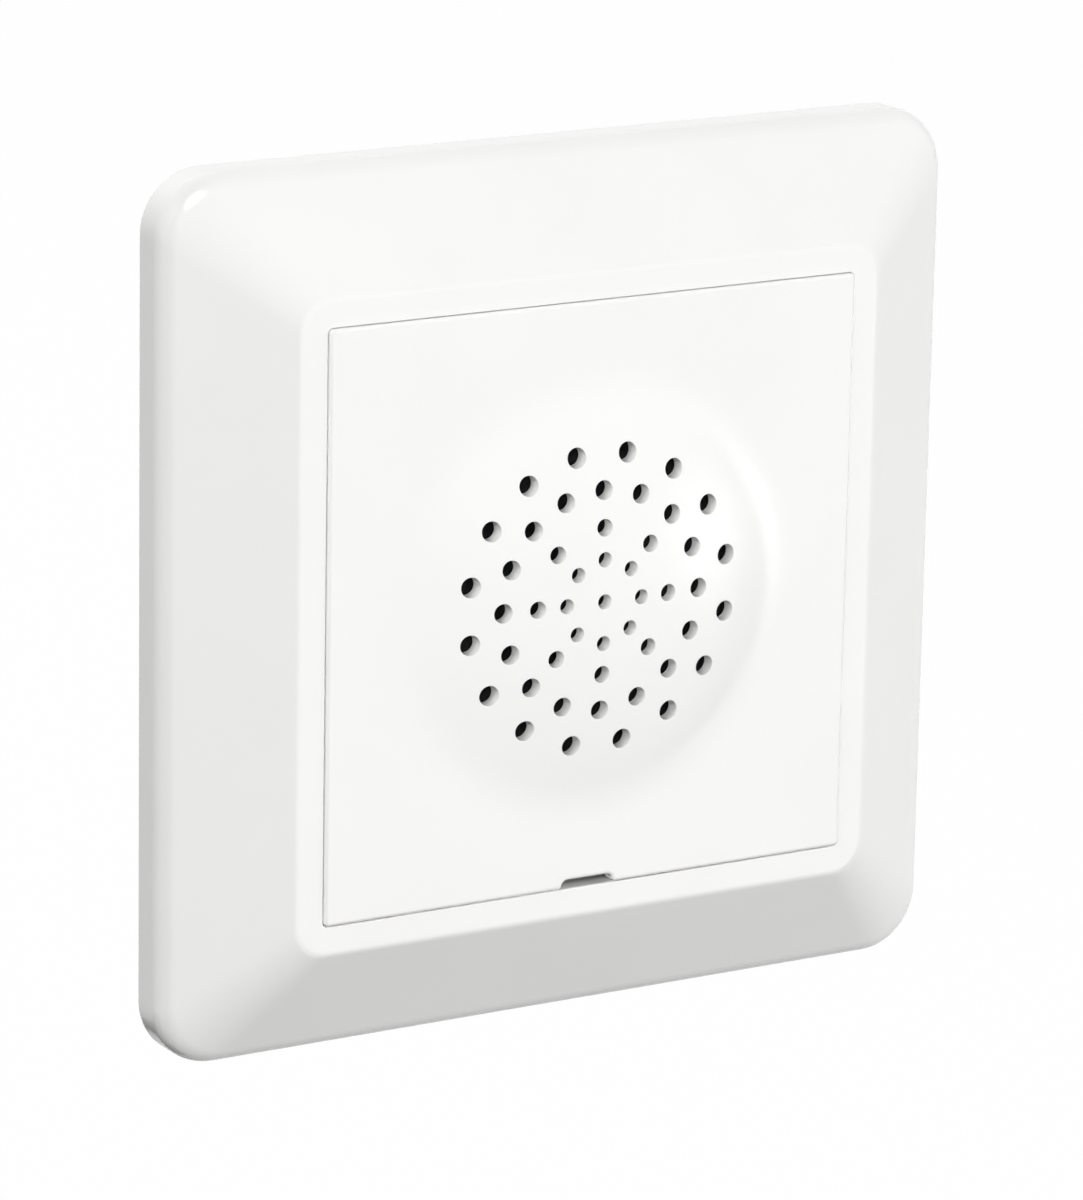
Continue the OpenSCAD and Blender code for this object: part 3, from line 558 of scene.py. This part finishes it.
def frameLevels(size):
    # the section's derived sizes
    run = size["half"] - size["openingHalf"] - size["rimWidth"]
    bevel = math.atan2(size["height"] - size["sideHeight"], run)
    drop = size["wall"] / math.cos(bevel)
    ledgeBottom = size["ledgeTop"] - size["ledgeThickness"]
    return {
        "bevel": bevel,
        "rimHalf": size["openingHalf"] + size["rimWidth"],
        "ledgeHalf": size["openingHalf"] - size["ledgeWidth"],
        "ledgeBottom": ledgeBottom,
        "cavityHalf": size["half"] - size["wall"],
        "cavitySide": size["sideHeight"] + size["wall"] * math.tan(bevel) - drop,
        "cavityTop": size["half"] - (ledgeBottom + drop - size["sideHeight"]) / math.tan(bevel),
    }


def frameSection(size, level):
    # the outside from the wall over the side, bevel and rim into the opening
    half, height, near = size["half"], size["height"], size["support"]
    slope = math.degrees(level["bevel"])
    along = (near * math.cos(level["bevel"]), near * math.sin(level["bevel"]))
    sideTangent = size["edgeRadius"] * math.tan(math.radians(90 - slope) / 2)
    rimTangent = size["rimEdge"] * math.tan(level["bevel"] / 2)
    foot, edge, crest, lip = size["backRadius"], size["edgeRadius"], size["rimEdge"], size["openingEdge"]
    back = arc(half - foot, foot, foot, -90, 0, size["backSteps"])
    side = arc(half - edge, size["sideHeight"] - sideTangent, edge, 0, 90 - slope, size["edgeSteps"])
    rim = arc(level["rimHalf"] - rimTangent, height - crest, crest, 90 - slope, 90, size["rimSteps"])
    inner = size["openingHalf"] + lip
    opening = arc(inner, height - lip, lip, 90, 180, size["openingSteps"])
    return [
        *back, (half, foot + near),
        (half, side[0][1] - near), *side, (side[-1][0] - along[0], side[-1][1] + along[1]),
        (rim[0][0] + along[0], rim[0][1] - along[1]), *rim, (rim[-1][0] - near, height),
        (inner + near, height), *opening, (size["openingHalf"], opening[-1][1] - near),
    ]


def frameCorner(size, level, half):
    # the corner radius grows from the opening over the rim to the outside
    if half > level["rimHalf"]:
        share = (half - level["rimHalf"]) / (size["half"] - level["rimHalf"])
        return size["rimCorner"] + (size["cornerRadius"] - size["rimCorner"]) * share
    share = (half - size["openingHalf"]) / size["rimWidth"]
    return size["openingCorner"] + (size["rimCorner"] - size["openingCorner"]) * share


def roundedSquare(half, radius, z, steps, near):
    ring = []
    for quarter in range(4):
        turn = Matrix.Rotation(math.pi / 2 * quarter, 2)
        middle = half - radius
        points = [(half, middle - near), *arc(middle, middle, radius, 0, 90, steps), (middle - near, half)]
        ring += [wallPoint(*(turn @ Vector(point)), z) for point in points]
    return ring


def makeCoverFrame(size):
    level = frameLevels(size)
    section = [(x, z, frameCorner(size, level, x)) for x, z in frameSection(size, level)]
    inside = size["cornerRadius"] - size["wall"]
    section += [
        (size["openingHalf"], size["ledgeTop"], size["openingCorner"]),
        (level["ledgeHalf"], size["ledgeTop"], size["openingCorner"]),
        (level["ledgeHalf"], level["ledgeBottom"], size["openingCorner"]),
        (level["cavityTop"], level["ledgeBottom"], size["rimCorner"]),
        (level["cavityHalf"], level["cavitySide"], inside),
        (level["cavityHalf"], 0, inside),
    ]
    rings = [roundedSquare(x, r, z, size["cornerSteps"], size["support"]) for x, z, r in section]
    piece = newPiece("coverFrame", *bridge(rings, True), "white_plastic")
    weld(piece)
    reach = size["reliefWidth"] / 2
    cutBox(piece, (-reach, -size["openingHalf"], level["ledgeBottom"] - cutOver),
           (reach, size["reliefDepth"] - size["openingHalf"], size["ledgeTop"] + size["reliefRise"]))
    smooth(piece, sharpAngle=30)
    return piece


def makeFrameRibs(size, rib):
    level = frameLevels(size)
    sink, deep = rib["sink"], rib["deep"]
    outline = [
        (level["ledgeHalf"] + sink, level["ledgeBottom"] + sink),
        (level["cavityTop"], level["ledgeBottom"] + sink),
        (level["cavityHalf"] + sink, level["cavitySide"] + sink),
        (level["cavityHalf"] + sink, rib["foot"]),
        (level["cavityHalf"] - 2 * deep, rib["foot"]),
        (level["cavityTop"] - deep, level["ledgeBottom"] - deep),
        (level["ledgeHalf"] + 2 * sink, level["ledgeBottom"] - sink),
    ]
    points, faces = [], []
    for middle in (-rib["fromMiddle"], rib["fromMiddle"]):
        base = len(points)
        sides = [[wallPoint(x, middle + s * rib["thickness"] / 2, z) for x, z in outline] for s in (-1, 1)]
        wall, quads = bridge(sides, False)
        count = len(outline)
        points += wall
        faces += [tuple(base + i for i in quad) for quad in quads]
        faces += [tuple(base + i for i in range(count)), tuple(base + count + i for i in range(count))]
    piece = newPiece("frameRibs", points, faces, "white_plastic")
    weld(piece)
    softenEdges(piece, rib["edge"])
    runGroup(piece, ringCopies, {"Radius": 0.0, "Count": 4, "Shift": 0.0})
    return piece


coverFrame = makeCoverFrame(coverFrameSize)
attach(coverFrame, "frame")
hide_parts("cover_frame")
frameRibs = makeFrameRibs(coverFrameSize, ribSize)
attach(frameRibs, "frame")
print("cover frame made,", len(coverFrame.data.polygons), "faces")


# Centre plate

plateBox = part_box("centre_plate")

centrePlateSize = {
    "half": plateBox[1].x / mm + 0.07,         # fills a little of the clearance
    "seat": 0.055,             # how far it sits to the right of the opening's middle
    "front": coverFrameSize["height"] + 0.25,  # a little proud of the rim
    "thickness": 1.4,
    "cornerRadius": 0.45,
    "cornerSteps": 8,
    "edgeRadius": 0.35,
    "edgeSteps": 6,
    "backChamfer": 0.1,
    "support": 0.06,
    "notchHalf": 3.0,
    "notchTopHalf": 2.7,
    "notchDepth": 0.8,
    "notchRadius": 0.6,
    "notchSteps": 5,
    "domeHeight": 2.0,
    "domeRadius": 96.5,
    "domeBlend": 20.0,
}

soundHoleSize = {
    "rings": [                 # radius, count, width of a hole, and shift in steps
        (0.0, 1, 1.4, 0.0),
        (3.93, 8, 1.4, 0.0),
        (6.88, 8, 1.6, 0.0),
        (10.31, 16, 1.8, 0.0),
        (13.73, 16, 1.9, 0.5),
    ],
    "lip": 0.03,
    "lipSteps": 4,
    "backSteps": 3,
    "collar": 0.2,             # flat round the lip
    "sides": 32,
}

domeGridSize = {
    "coarse": 0.85,            # between rings among the holes
    "coarseRings": 18,
    "spacing": 0.9,            # between points of a coarse ring
    "fewest": 8,
    "fine": 0.45,              # between rings where the dome blends into the flat
    "fineFrom": 15.8,
    "finePoints": 128,
    "past": 0.9,               # how far the rings run past the dome's foot
    "clear": 0.45,             # kept free round a hole's collar
}

spigotSize = {
    "radius": 1.95,
    "length": 4.6,
    "slot": 0.8,
    "place": 22.0,
    "sink": 0.2,               # how far it runs into the plate
    "sides": 48,
    "edge": 0.1,
}


def plateOutline(size):
    # anticlockwise from the notch's left mouth
    half, r = size["half"], size["cornerRadius"]
    middle = half - r
    notch, deep = size["notchTopHalf"] - size["notchRadius"], size["notchDepth"] - size["notchRadius"]
    outline = [(-size["notchHalf"], -half)]
    outline += arc(-notch, deep - half, size["notchRadius"], 180, 90, size["notchSteps"])
    outline += arc(notch, deep - half, size["notchRadius"], 90, 0, size["notchSteps"])
    outline += [(size["notchHalf"], -half)]
    for start, x, y in ((-90, 1, -1), (0, 1, 1), (90, -1, 1), (180, -1, -1)):
        outline += arc(x * middle, y * middle, r, start, start + 90, size["cornerSteps"])
    return [Vector(point) for point in outline]


def inset(outline, distance):
    # moves a closed anticlockwise outline inwards
    moved = []
    for i, point in enumerate(outline):
        before = (point - outline[i - 1]).normalized()
        after = (outline[(i + 1) % len(outline)] - point).normalized()
        normals = [Vector((-d.y, d.x)) for d in (before, after)]
        middle = (normals[0] + normals[1]).normalized()
        moved.append(point + middle * distance / middle.dot(normals[0]))
    return moved


def holeList(holes):
    # centre, angle and collar's radius of every hole
    found = []
    for radius, count, width, shift in holes["rings"]:
        for k in range(count):
            angle = 2 * math.pi * (k + shift) / count
            centre = Vector((math.cos(angle), math.sin(angle))) * radius
            found.append((centre, angle, width / 2 + holes["lip"] + holes["collar"]))
    return found


def domeGrid(size, grid, holes):
    # points that carry the dome's curve, closer together where it blends into the flat
    reach = size["domeRadius"] + size["domeBlend"]
    foot = math.sqrt(reach ** 2 - (reach - size["domeHeight"]) ** 2)
    fineRings = int((foot + grid["past"] - grid["fineFrom"]) / grid["fine"]) + 1
    rings = [grid["coarse"] * (k + 1) for k in range(grid["coarseRings"])]
    rings += [grid["fineFrom"] + grid["fine"] * k for k in range(fineRings)]
    points = []
    for k, radius in enumerate(rings):
        count = max(grid["fewest"], round(2 * math.pi * radius / grid["spacing"]))
        if k >= grid["coarseRings"]:
            count = grid["finePoints"]
        for j in range(count):
            angle = 2 * math.pi * (j + 0.5 * (k % 2)) / count     # every other ring is shifted by half a step
            point = Vector((math.cos(angle), math.sin(angle))) * radius
            if all((point - centre).length > collar + grid["clear"] for centre, _, collar in holes):
                points.append(point)
    return points


def perforatedSheet(outline, holes, grid, sides, z):
    # triangles of a flat sheet with round gaps
    points = list(outline)
    edges = [(i, (i + 1) % len(outline)) for i in range(len(outline))]
    for centre, angle, radius in holes:
        base = len(points)
        for j in range(sides):
            a = angle + 2 * math.pi * j / sides
            points.append(centre + Vector((math.cos(a), math.sin(a))) * radius)
            edges.append((base + j, base + (j + 1) % sides))
    mergeDistance, margin = 1e-6, 0.99     # the margin allows for the flats of a hole's sides
    found = delaunay_2d_cdt(points + grid, edges, [], 1, mergeDistance)
    spots, triangles = found[0], found[2]
    kept = []
    for triangle in triangles:
        middle = (spots[triangle[0]] + spots[triangle[1]] + spots[triangle[2]]) / 3
        if all((middle - centre).length > radius * margin for centre, _, radius in holes):
            kept.append(tuple(triangle))
    return [wallPoint(*spot, z) for spot in spots], kept


def makeHoleSleeves(size, holes):
    # the lips and walls of the sound holes, one run of the tree for each ring
    front, back = size["front"], size["front"] - size["thickness"]
    sleeves = []
    for number, (radius, count, width, shift) in enumerate(holes["rings"]):
        r, lip = width / 2, holes["lip"]
        flat = r + lip + holes["collar"]
        profile = [(flat, front), *arc(r + lip, front - lip, lip, 90, 180, holes["lipSteps"]),
                   *arc(r + lip, back + lip, lip, 180, 270, holes["backSteps"]), (flat, back)]
        piece = lathe("sleeve%d" % number, profile, holes["sides"], "white_plastic", closed=False)
        runGroup(piece, ringCopies, {"Radius": radius * mm, "Count": count, "Shift": shift})
        sleeves.append(piece)
    return sleeves


def joinInto(piece, others):
    shape = bmesh.new()
    for part in [piece, *others]:
        shape.from_mesh(part.data)
    shape.to_mesh(piece.data)
    shape.free()
    for part in others:
        bpy.data.objects.remove(part)


def makeCentrePlate(size, holes, gridSize):
    outline = plateOutline(size)
    front, back, r = size["front"], size["front"] - size["thickness"], size["edgeRadius"]
    top = inset(outline, r + size["support"])
    bottom = inset(outline, size["backChamfer"])
    edge = [(top, front)]
    for i in range(size["edgeSteps"] + 1):
        lean = math.pi / 2 * (1 - i / size["edgeSteps"])
        edge.append((inset(outline, r * (1 - math.cos(lean))), front - r * (1 - math.sin(lean))))
    edge += [(outline, back + size["backChamfer"]), (bottom, back)]
    rings = [[wallPoint(*point, z) for point in loop] for loop, z in edge]
    piece = newPiece("centrePlate", *bridge(rings, False), "white_plastic")
    found = holeList(holes)
    grid = domeGrid(size, gridSize, found)
    sheets = [newPiece("sheet", *perforatedSheet(loop, found, grid, holes["sides"], z), "white_plastic")
              for loop, z in ((top, front), (bottom, back))]
    joinInto(piece, sheets + makeHoleSleeves(size, holes))
    weld(piece)
    runGroup(piece, domeLift, {
        "Height": size["domeHeight"] * mm, "Sphere Radius": size["domeRadius"] * mm,
        "Blend Radius": size["domeBlend"] * mm})
    piece.data.transform(Matrix.Translation((size["seat"] * mm, 0, 0)))
    smooth(piece, sharpAngle=40)
    return piece


def makeSpigots(size, plate):
    root = plate["front"] - plate["thickness"]
    tip, top = root - size["length"], root + size["sink"]
    r, slot = size["radius"], size["slot"]
    profile = [(0, top), (r, top), (r, tip + slot), (r - slot / 2, tip), (0, tip)]
    piece = lathe("plateSpigots", profile, size["sides"], "white_plastic")
    reach = r + cutOver
    cutBox(piece, (-slot / 2, -reach, tip - cutOver), (slot / 2, reach, root - slot))
    softenEdges(piece, size["edge"])
    runGroup(piece, cornerCopies, {"Across": size["place"] * mm, "Up": size["place"] * mm})
    return piece


centrePlate = makeCentrePlate(centrePlateSize, soundHoleSize, domeGridSize)
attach(centrePlate, "plate")
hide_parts("centre_plate")
plateSpigots = makeSpigots(spigotSize, centrePlateSize)
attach(plateSpigots, "plate")
print("centre plate made,", len(centrePlate.data.polygons), "faces")


# Loudspeaker's turned pieces

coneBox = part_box("speaker_cone")
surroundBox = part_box("speaker_surround")
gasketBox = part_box("speaker_gasket")
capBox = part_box("speaker_dust_cap")
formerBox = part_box("voice_coil_former")
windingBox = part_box("voice_coil_winding")
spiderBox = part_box("speaker_spider")

speakerSize = {
    "steps": 96,
    "flange": levelsOf(coneBox)[1],            # level of the basket's flange
    "neck": levelsOf(coneBox)[0],
    "coneRadius": coneBox[1].x / mm,
    "coneThickness": 0.35,
    "coneSteps": 48,
    "coneRim": 1.1,
    "surroundLap": 0.8,        # share of the cone's rim that the surround covers
    "coneRidges": 3,
    "ridgeHeight": 0.09,
    "surroundRadius": surroundBox[1].x / mm,
    "rollRadius": 0.9,
    "rollSteps": (20, 16),     # over the roll and under it
    "skin": 0.2,
    "capSteps": (16, 12),
    "capHollow": 0.9,          # share of the cap's spread that is hollow
    "formerRadius": formerBox[1].x / mm,
    "formerThickness": 0.15,
    "formerGap": 0.01,
    "coilSides": 64,
    "gasketInner": 15.4,
    "gasketOuter": gasketBox[1].x / mm,
    "gasketSoft": 0.35,        # share of the gasket's height that is rounded
    "gasketSteps": 5,
    "wires": 9,
    "wireTurn": 80,
    "wireSteps": 6,
    "spiderWaves": 4,
    "spiderSteps": 40,
    "spiderCollar": 0.5,       # cloth glued round the former
    "spiderRim": 1.0,
}


def turned(name, profile, sides, slot, sharpAngle=50):
    piece = lathe(name, profile, sides, slot)
    smooth(piece, sharpAngle)
    return piece


def makeSurround(size):
    skin, level, r = size["skin"], size["flange"], size["rollRadius"]
    middle = size["coneRadius"] + r
    inner, outer = size["coneRadius"] - size["surroundLap"] * size["coneRim"], size["surroundRadius"]
    over, below = size["rollSteps"]
    top = [(inner, level + skin), *arc(middle, level + skin / 2, r - skin / 2, 172, 8, over),
           (outer, level + skin)]
    under = [(outer, level), *arc(middle, level, r - skin, 4, 176, below), (inner, level)]
    return turned("speakerSurround", top + under, size["steps"], "surround_rubber", sharpAngle=60)


def makeCone(size):
    # straight pulp cone with a few pressed ridges
    thick, rise = size["coneThickness"], size["flange"] - size["neck"]
    start, end = size["formerRadius"] + size["formerGap"], size["coneRadius"] - size["coneRim"]
    front = []
    for i in range(size["coneSteps"] + 1):
        share = i / size["coneSteps"]
        wave = size["ridgeHeight"] * max(0.0, math.sin(2 * math.pi * share * size["coneRidges"])) ** 2
        z = size["neck"] + thick + (rise - thick) * share - wave * math.sin(math.pi * share)
        front.append((start + (end - start) * share, z))
    rim = [(size["coneRadius"], size["flange"]), (size["coneRadius"], size["flange"] - thick)]
    rear = [(radius, z - thick) for radius, z in reversed(front)]
    return turned("speakerCone", front + rim + rear, size["steps"], "cone_paper")


def makeDustCap(size):
    low, high = levelsOf(capBox)
    reach, rise = capBox[1].x / mm, high - low
    sphere = (reach ** 2 + rise ** 2) / (2 * rise)
    lean = math.degrees(math.asin(reach / sphere))
    over, below = size["capSteps"]
    outer = arc(0, high - sphere, sphere, 90, 90 - lean, over)
    inner = arc(0, high - sphere - size["skin"], sphere, 90 - lean * size["capHollow"], 90, below)
    return turned("speakerDustCap", outer + inner, size["steps"], "cone_paper")


def makeGasket(size):
    low, high = levelsOf(gasketBox)
    soft, steps = (high - low) * size["gasketSoft"], size["gasketSteps"]
    inner, outer = size["gasketInner"], size["gasketOuter"]
    profile = [*arc(outer - soft, high - soft, soft, 0, 90, steps),
               *arc(inner + soft, high - soft, soft, 90, 180, steps), (inner, low), (outer, low)]
    return turned("speakerGasket", profile, size["steps"], "black_foam")


def makeFormer(size):
    low, high = levelsOf(formerBox)
    outer, inner = size["formerRadius"], size["formerRadius"] - size["formerThickness"]
    profile = [(outer, low), (outer, high), (inner, high), (inner, low)]
    return turned("voiceCoilFormer", profile, size["coilSides"], "former_paper")


def makeWinding(size):
    # closely wound turns, as a row of half rounds
    low, high = levelsOf(windingBox)
    wire = (high - low) / size["wires"] / 2
    outer = windingBox[1].x / mm - wire
    profile = []
    for k in range(size["wires"]):
        level = low + wire * (2 * k + 1)
        profile += arc(outer, level, wire, -size["wireTurn"], size["wireTurn"], size["wireSteps"])
    profile += [(size["formerRadius"], high), (size["formerRadius"], low)]
    return turned("voiceCoilWinding", profile, size["coilSides"], "copper_wire")


def makeSpider(size):
    # corrugated cloth from the former out to a flat glued rim
    low, high = levelsOf(spiderBox)
    reach, start = spiderBox[1].x / mm, size["formerRadius"] + size["formerGap"]
    end = reach - size["spiderRim"]
    swing = (high - low - size["skin"]) / 2
    top = []
    for i in range(size["spiderSteps"] + 1):
        share = i / size["spiderSteps"]
        wave = swing * (1 - math.cos(2 * math.pi * share * size["spiderWaves"]))
        top.append((start + (end - start) * share, low + size["skin"] + wave))
    under = [(radius, z - size["skin"]) for radius, z in reversed(top)]
    profile = top + [(reach, low + size["skin"]), (reach, low)] + under
    return turned("speakerSpider", profile, size["steps"], "spider_cloth")


softRings = {
    "speaker_surround": {"wedges": 12, "inner": speakerSize["coneRadius"],
                         "outer": speakerSize["coneRadius"] + 2 * speakerSize["rollRadius"]},
    "speaker_spider": {"wedges": 12, "inner": speakerSize["formerRadius"] + speakerSize["spiderCollar"],
                       "outer": spiderBox[1].x / mm - speakerSize["spiderRim"]},
}


def splitRing(ring, size):
    # cuts the ring into wedges round their own middles, each reaching from the moving cone out to the glued
    # rim
    half = math.pi / size["wedges"]
    for k in range(size["wedges"]):
        middle = (2 * k + 1) * half
        way = wallPoint(math.cos(middle), math.sin(middle), 0)
        wedge = newPiece("%s%d" % (ring.name, k + 1), [], [], ring["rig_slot"])
        shape = bmesh.new()
        shape.from_mesh(ring.data)
        centres = {face: face.calc_center_median() * Vector((1, 0, 1)) for face in shape.faces}
        away = [face for face, centre in centres.items() if centre.angle(way) > half]
        bmesh.ops.delete(shape, geom=away, context="FACES")
        shape.to_mesh(wedge.data)
        shape.free()
        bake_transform(wedge)
        yield wedge
    bpy.data.objects.remove(ring)


for node, body, make in (
        ("speaker_cone", "cone", makeCone), ("speaker_dust_cap", "cone", makeDustCap),
        ("voice_coil_former", "cone", makeFormer), ("voice_coil_winding", "cone", makeWinding),
        ("speaker_gasket", "insert", makeGasket)):
    piece = make(speakerSize)
    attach(piece, body)
    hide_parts(node)
for node, make in (("speaker_surround", makeSurround), ("speaker_spider", makeSpider)):
    for wedge in splitRing(make(speakerSize), softRings[node]):
        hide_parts(node)
print("loudspeaker's turned pieces made")


# Screws

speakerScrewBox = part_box("speaker_screws")

assemblyScrewSize = {
    "head": 2.3,
    "rim": 0.08,               # straight edge of the head
    "shank": 1.25,
    "tip": levelsOf(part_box("assembly_screws"))[1],
    "point": 0.4,              # chamfer at the tip
    "sides": 40,
    "recess": 2.5,             # length of the cross recess
    "recessWidth": 0.7,
    "recessDepth": 0.52,
    "across": 23.0,
    "up": 17.0,
    "edge": 0.06,
}

speakerScrewSize = {
    "head": 2.2,
    "shank": 0.9,
    "under": 7.8,
    "top": levelsOf(speakerScrewBox)[1],
    "crown": (0.25, 0.15),     # width and height of the head's rounding
    "tip": levelsOf(speakerScrewBox)[0],
    "reach": speakerScrewBox[1].x / mm,
    "sides": 40,
    "slotWidth": 0.7,
    "slotDepth": 0.35,
    "slotTurn": 30,
    "edge": 0.09,
}


def makeAssemblyScrews(size):
    head, shank, tip, point = size["head"], size["shank"], size["tip"], size["point"]
    profile = [(0, 0), (head, 0), (head, size["rim"]), (shank, head - shank), (shank, tip - point),
               (shank - point, tip), (0, tip)]
    piece = lathe("assemblyScrews", profile, size["sides"], "screw_steel")
    for across, up in ((size["recess"], size["recessWidth"]), (size["recessWidth"], size["recess"])):
        cutBox(piece, (-across / 2, -up / 2, -cutOver), (across / 2, up / 2, size["recessDepth"]))
    softenEdges(piece, size["edge"], sharpAngle=50)
    runGroup(piece, cornerCopies, {"Across": size["across"] * mm, "Up": size["up"] * mm})
    return piece


def makeSpeakerScrews(size):
    head, shank, top, under, tip = [size[key] for key in ("head", "shank", "top", "under", "tip")]
    width, height = size["crown"]
    profile = [(0, tip), (shank, tip), (shank, under), (head, under), (head, top - height),
               (head - width, top), (0, top)]
    piece = lathe("speakerScrews", profile, size["sides"], "screw_steel")
    along, across = head + cutOver, size["slotWidth"] / 2
    cutBox(piece, (-along, -across, top - size["slotDepth"]), (along, across, top + cutOver),
           -size["slotTurn"])
    softenEdges(piece, size["edge"], sharpAngle=50)
    runGroup(piece, ringCopies, {"Radius": (size["reach"] - head) * mm, "Count": 4, "Shift": 0.0})
    return piece


for node, make, size in (("assembly_screws", makeAssemblyScrews, assemblyScrewSize),
                         ("speaker_screws", makeSpeakerScrews, speakerScrewSize)):
    screws = make(size)
    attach(screws, "insert")
    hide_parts(node)
print("screws made")


# Rigid pieces that keep the construction's shape, with their edges broken by a width in millimetres

brokenEdges = {
    "carrier": 0.15,
    "housing": 0.2,
    "support_plate": 0.12,
    "speaker_basket": 0.1,
    "speaker_top_plate": 0.1,
    "speaker_magnet": 0.15,
    "speaker_yoke": 0.1,
    "speaker_tag_strip": 0.05,
    "speaker_tags": 0.04,
    "circuit_board": 0.05,
    "capacitors": 0.12,
    "rectifier": 0.1,
    "melody_chip": 0.1,
    "amplifier_chip": 0.1,
    "chip_legs": 0.05,
    "resistors": 0.25,
    "volume_trimmer_body": 0.12,
    "volume_trimmer_rotor": 0.08,
    "tune_switch_body": 0.1,
    "tune_button": 0.2,
    "terminal_block": 0.18,
    "contact_strips": 0.08,
    "clamp_screw_left": 0.12,
    "clamp_screw_right": 0.12,
    "clamp_cage_left": 0.1,
    "clamp_cage_right": 0.1,
}

flatAngle = 0.5                # degrees, under which neighbouring faces are one flat
bodies = frame["record"]["behaviour"]["bodies"]
bodyOfNode = {node: body for body, members in bodies.items() for node in members}
slotOfNode = {row["node"]: row["material_slot"] for row in frame["record"]["subparts"]}


def brokenCopy(node, width):
    # the node's own shape, merged and with its flats joined, then edged
    shape = bmesh.new()
    shape.from_mesh(cadNodes[node].data)
    bmesh.ops.remove_doubles(shape, verts=shape.verts, dist=weldDistance)
    bmesh.ops.dissolve_limit(shape, angle_limit=math.radians(flatAngle), verts=shape.verts, edges=shape.edges)
    piece = newPiece(camelName(node), [], [], slotOfNode[node])
    shape.to_mesh(piece.data)
    shape.free()
    for face in piece.data.polygons:
        face.material_index = 0
    softenEdges(piece, width)
    return piece


for node, width in brokenEdges.items():
    copy = brokenCopy(node, width)
    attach(copy, bodyOfNode[node])
    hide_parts(node)
for node in ("speaker_lead_red", "speaker_lead_black"):
    cadNodes[node].data.materials[0] = finishes[slotOfNode[node]]
print("rigid pieces finished,", len(brokenEdges))


# Floor, card, world and lamps, in metres, degrees and watts

floorSize = {
    "half": 4.0,
    "level": -0.35,
    "shadowShare": 0.025,      # how much of the floor's own shading the camera sees
    "shown": 0.95,             # the floor's grey to the camera and in reflections
    "bounced": 0.03,           # and as it lights the object from below
}

darkCardSize = {               # a black card behind and below, which only shows in glossy surfaces
    "low": (-0.55, 0.05),
    "high": (-0.03, 0.45),
    "level": -0.30,
}

worldLight = {"level": 0.03}

lampColumns = ("azimuth", "elevation", "distance", "size", "power")

mattLamps = {                  # they light matt surfaces and don't show in glossy ones
    "frontLeftLamp": (-30, 22, 1.4, 0.5, 11.0),
    "frontRightLamp": (45, -10, 1.2, 0.25, 6.7),
    "leftLamp": (-69, 33, 1.4, 0.6, 7.3),
    "rightLamp": (77, 21, 1.4, 0.6, 5.5),
    "rearLamp": (175, 43, 3.0, 2.0, 64),
}

shineLamps = {                 # they only show in glossy surfaces
    "cornerLamp": (-17, 43, 1.2, 0.5, 6.0),
    "plateLamp": (20, -15, 0.4, 0.45, 0.7),
}


def seenRays(tree):
    # 1 for rays from the camera, from glossy surfaces and through clear ones
    path = addNode(tree, "ShaderNodeLightPath")
    seen = calc(tree, "MAXIMUM", path.outputs["Is Camera Ray"], path.outputs["Is Glossy Ray"])
    return calc(tree, "MAXIMUM", seen, path.outputs["Is Transmission Ray"])


def emptyTree(owner):
    owner.use_nodes = True
    owner.node_tree.nodes.clear()
    return owner.node_tree


def endMix(tree, share, first, second, output):
    mix = addNode(tree, "ShaderNodeMixShader", {0: share, 1: first.outputs[0], 2: second.outputs[0]})
    addNode(tree, output, {"Surface": mix.outputs[0]})


def stageSheet(name, low, high, level, material):
    corners = (low, (high[0], low[1]), high, (low[0], high[1]))
    mesh = bpy.data.meshes.new(name)
    mesh.from_pydata([(*corner, level) for corner in corners], [], [(0, 1, 2, 3)])
    mesh.materials.append(material)
    sheet = bpy.data.objects.new(name, mesh)
    scene.collection.objects.link(sheet)
    return sheet


def makeFloor(size):
    half = size["half"]
    material = bpy.data.materials.new("paleFloor")
    tree = emptyTree(material)
    seen = seenRays(tree)
    grey = between(tree, seen, size["bounced"], size["shown"], 0, 1)
    matt = addNode(tree, "ShaderNodeBsdfDiffuse", {"Color": grey})
    white = addNode(tree, "ShaderNodeEmission", {"Color": (1, 1, 1, 1), "Strength": 1.0})
    share = calc(tree, "MULTIPLY", seen, 1 - size["shadowShare"])
    endMix(tree, share, matt, white, "ShaderNodeOutputMaterial")
    stageSheet("floor", (-half, -half), (half, half), size["level"], material)


def makeDarkCard(size):
    material = startMaterial("blackCard", Base_Color=(0, 0, 0, 1), Specular_IOR_Level=0.0)[0]
    card = stageSheet("darkCard", size["low"], size["high"], size["level"], material)
    for ray in ("camera", "diffuse", "transmission", "shadow"):
        setattr(card, "visible_" + ray, False)


def makeWorld(light):
    scene.world = bpy.data.worlds.new("studio")
    tree = emptyTree(scene.world)
    soft = addNode(tree, "ShaderNodeBackground", {"Color": (1, 1, 1, 1), "Strength": light["level"]})
    white = addNode(tree, "ShaderNodeBackground", {"Color": (1, 1, 1, 1), "Strength": 1.0})
    endMix(tree, seenRays(tree), soft, white, "ShaderNodeOutputWorld")


def makeLamp(name, lamp, shines):
    data = bpy.data.lights.new(name, "AREA")
    data.shape = "DISK"
    data.size = lamp["size"]
    data.energy = lamp["power"]
    way = wayTo(lamp)
    turn = way.to_track_quat("Z", "Y").to_matrix().to_4x4()
    item = bpy.data.objects.new(name, data)
    item.matrix_world = Matrix.Translation(way * lamp["distance"]) @ turn
    item.visible_camera = False
    item.visible_diffuse = not shines
    item.visible_glossy = shines
    scene.collection.objects.link(item)


makeFloor(floorSize)
makeDarkCard(darkCardSize)
makeWorld(worldLight)
for lamps, shines in ((mattLamps, False), (shineLamps, True)):
    for name, row in lamps.items():
        makeLamp(name, dict(zip(lampColumns, row)), shines)
print("stage lit")
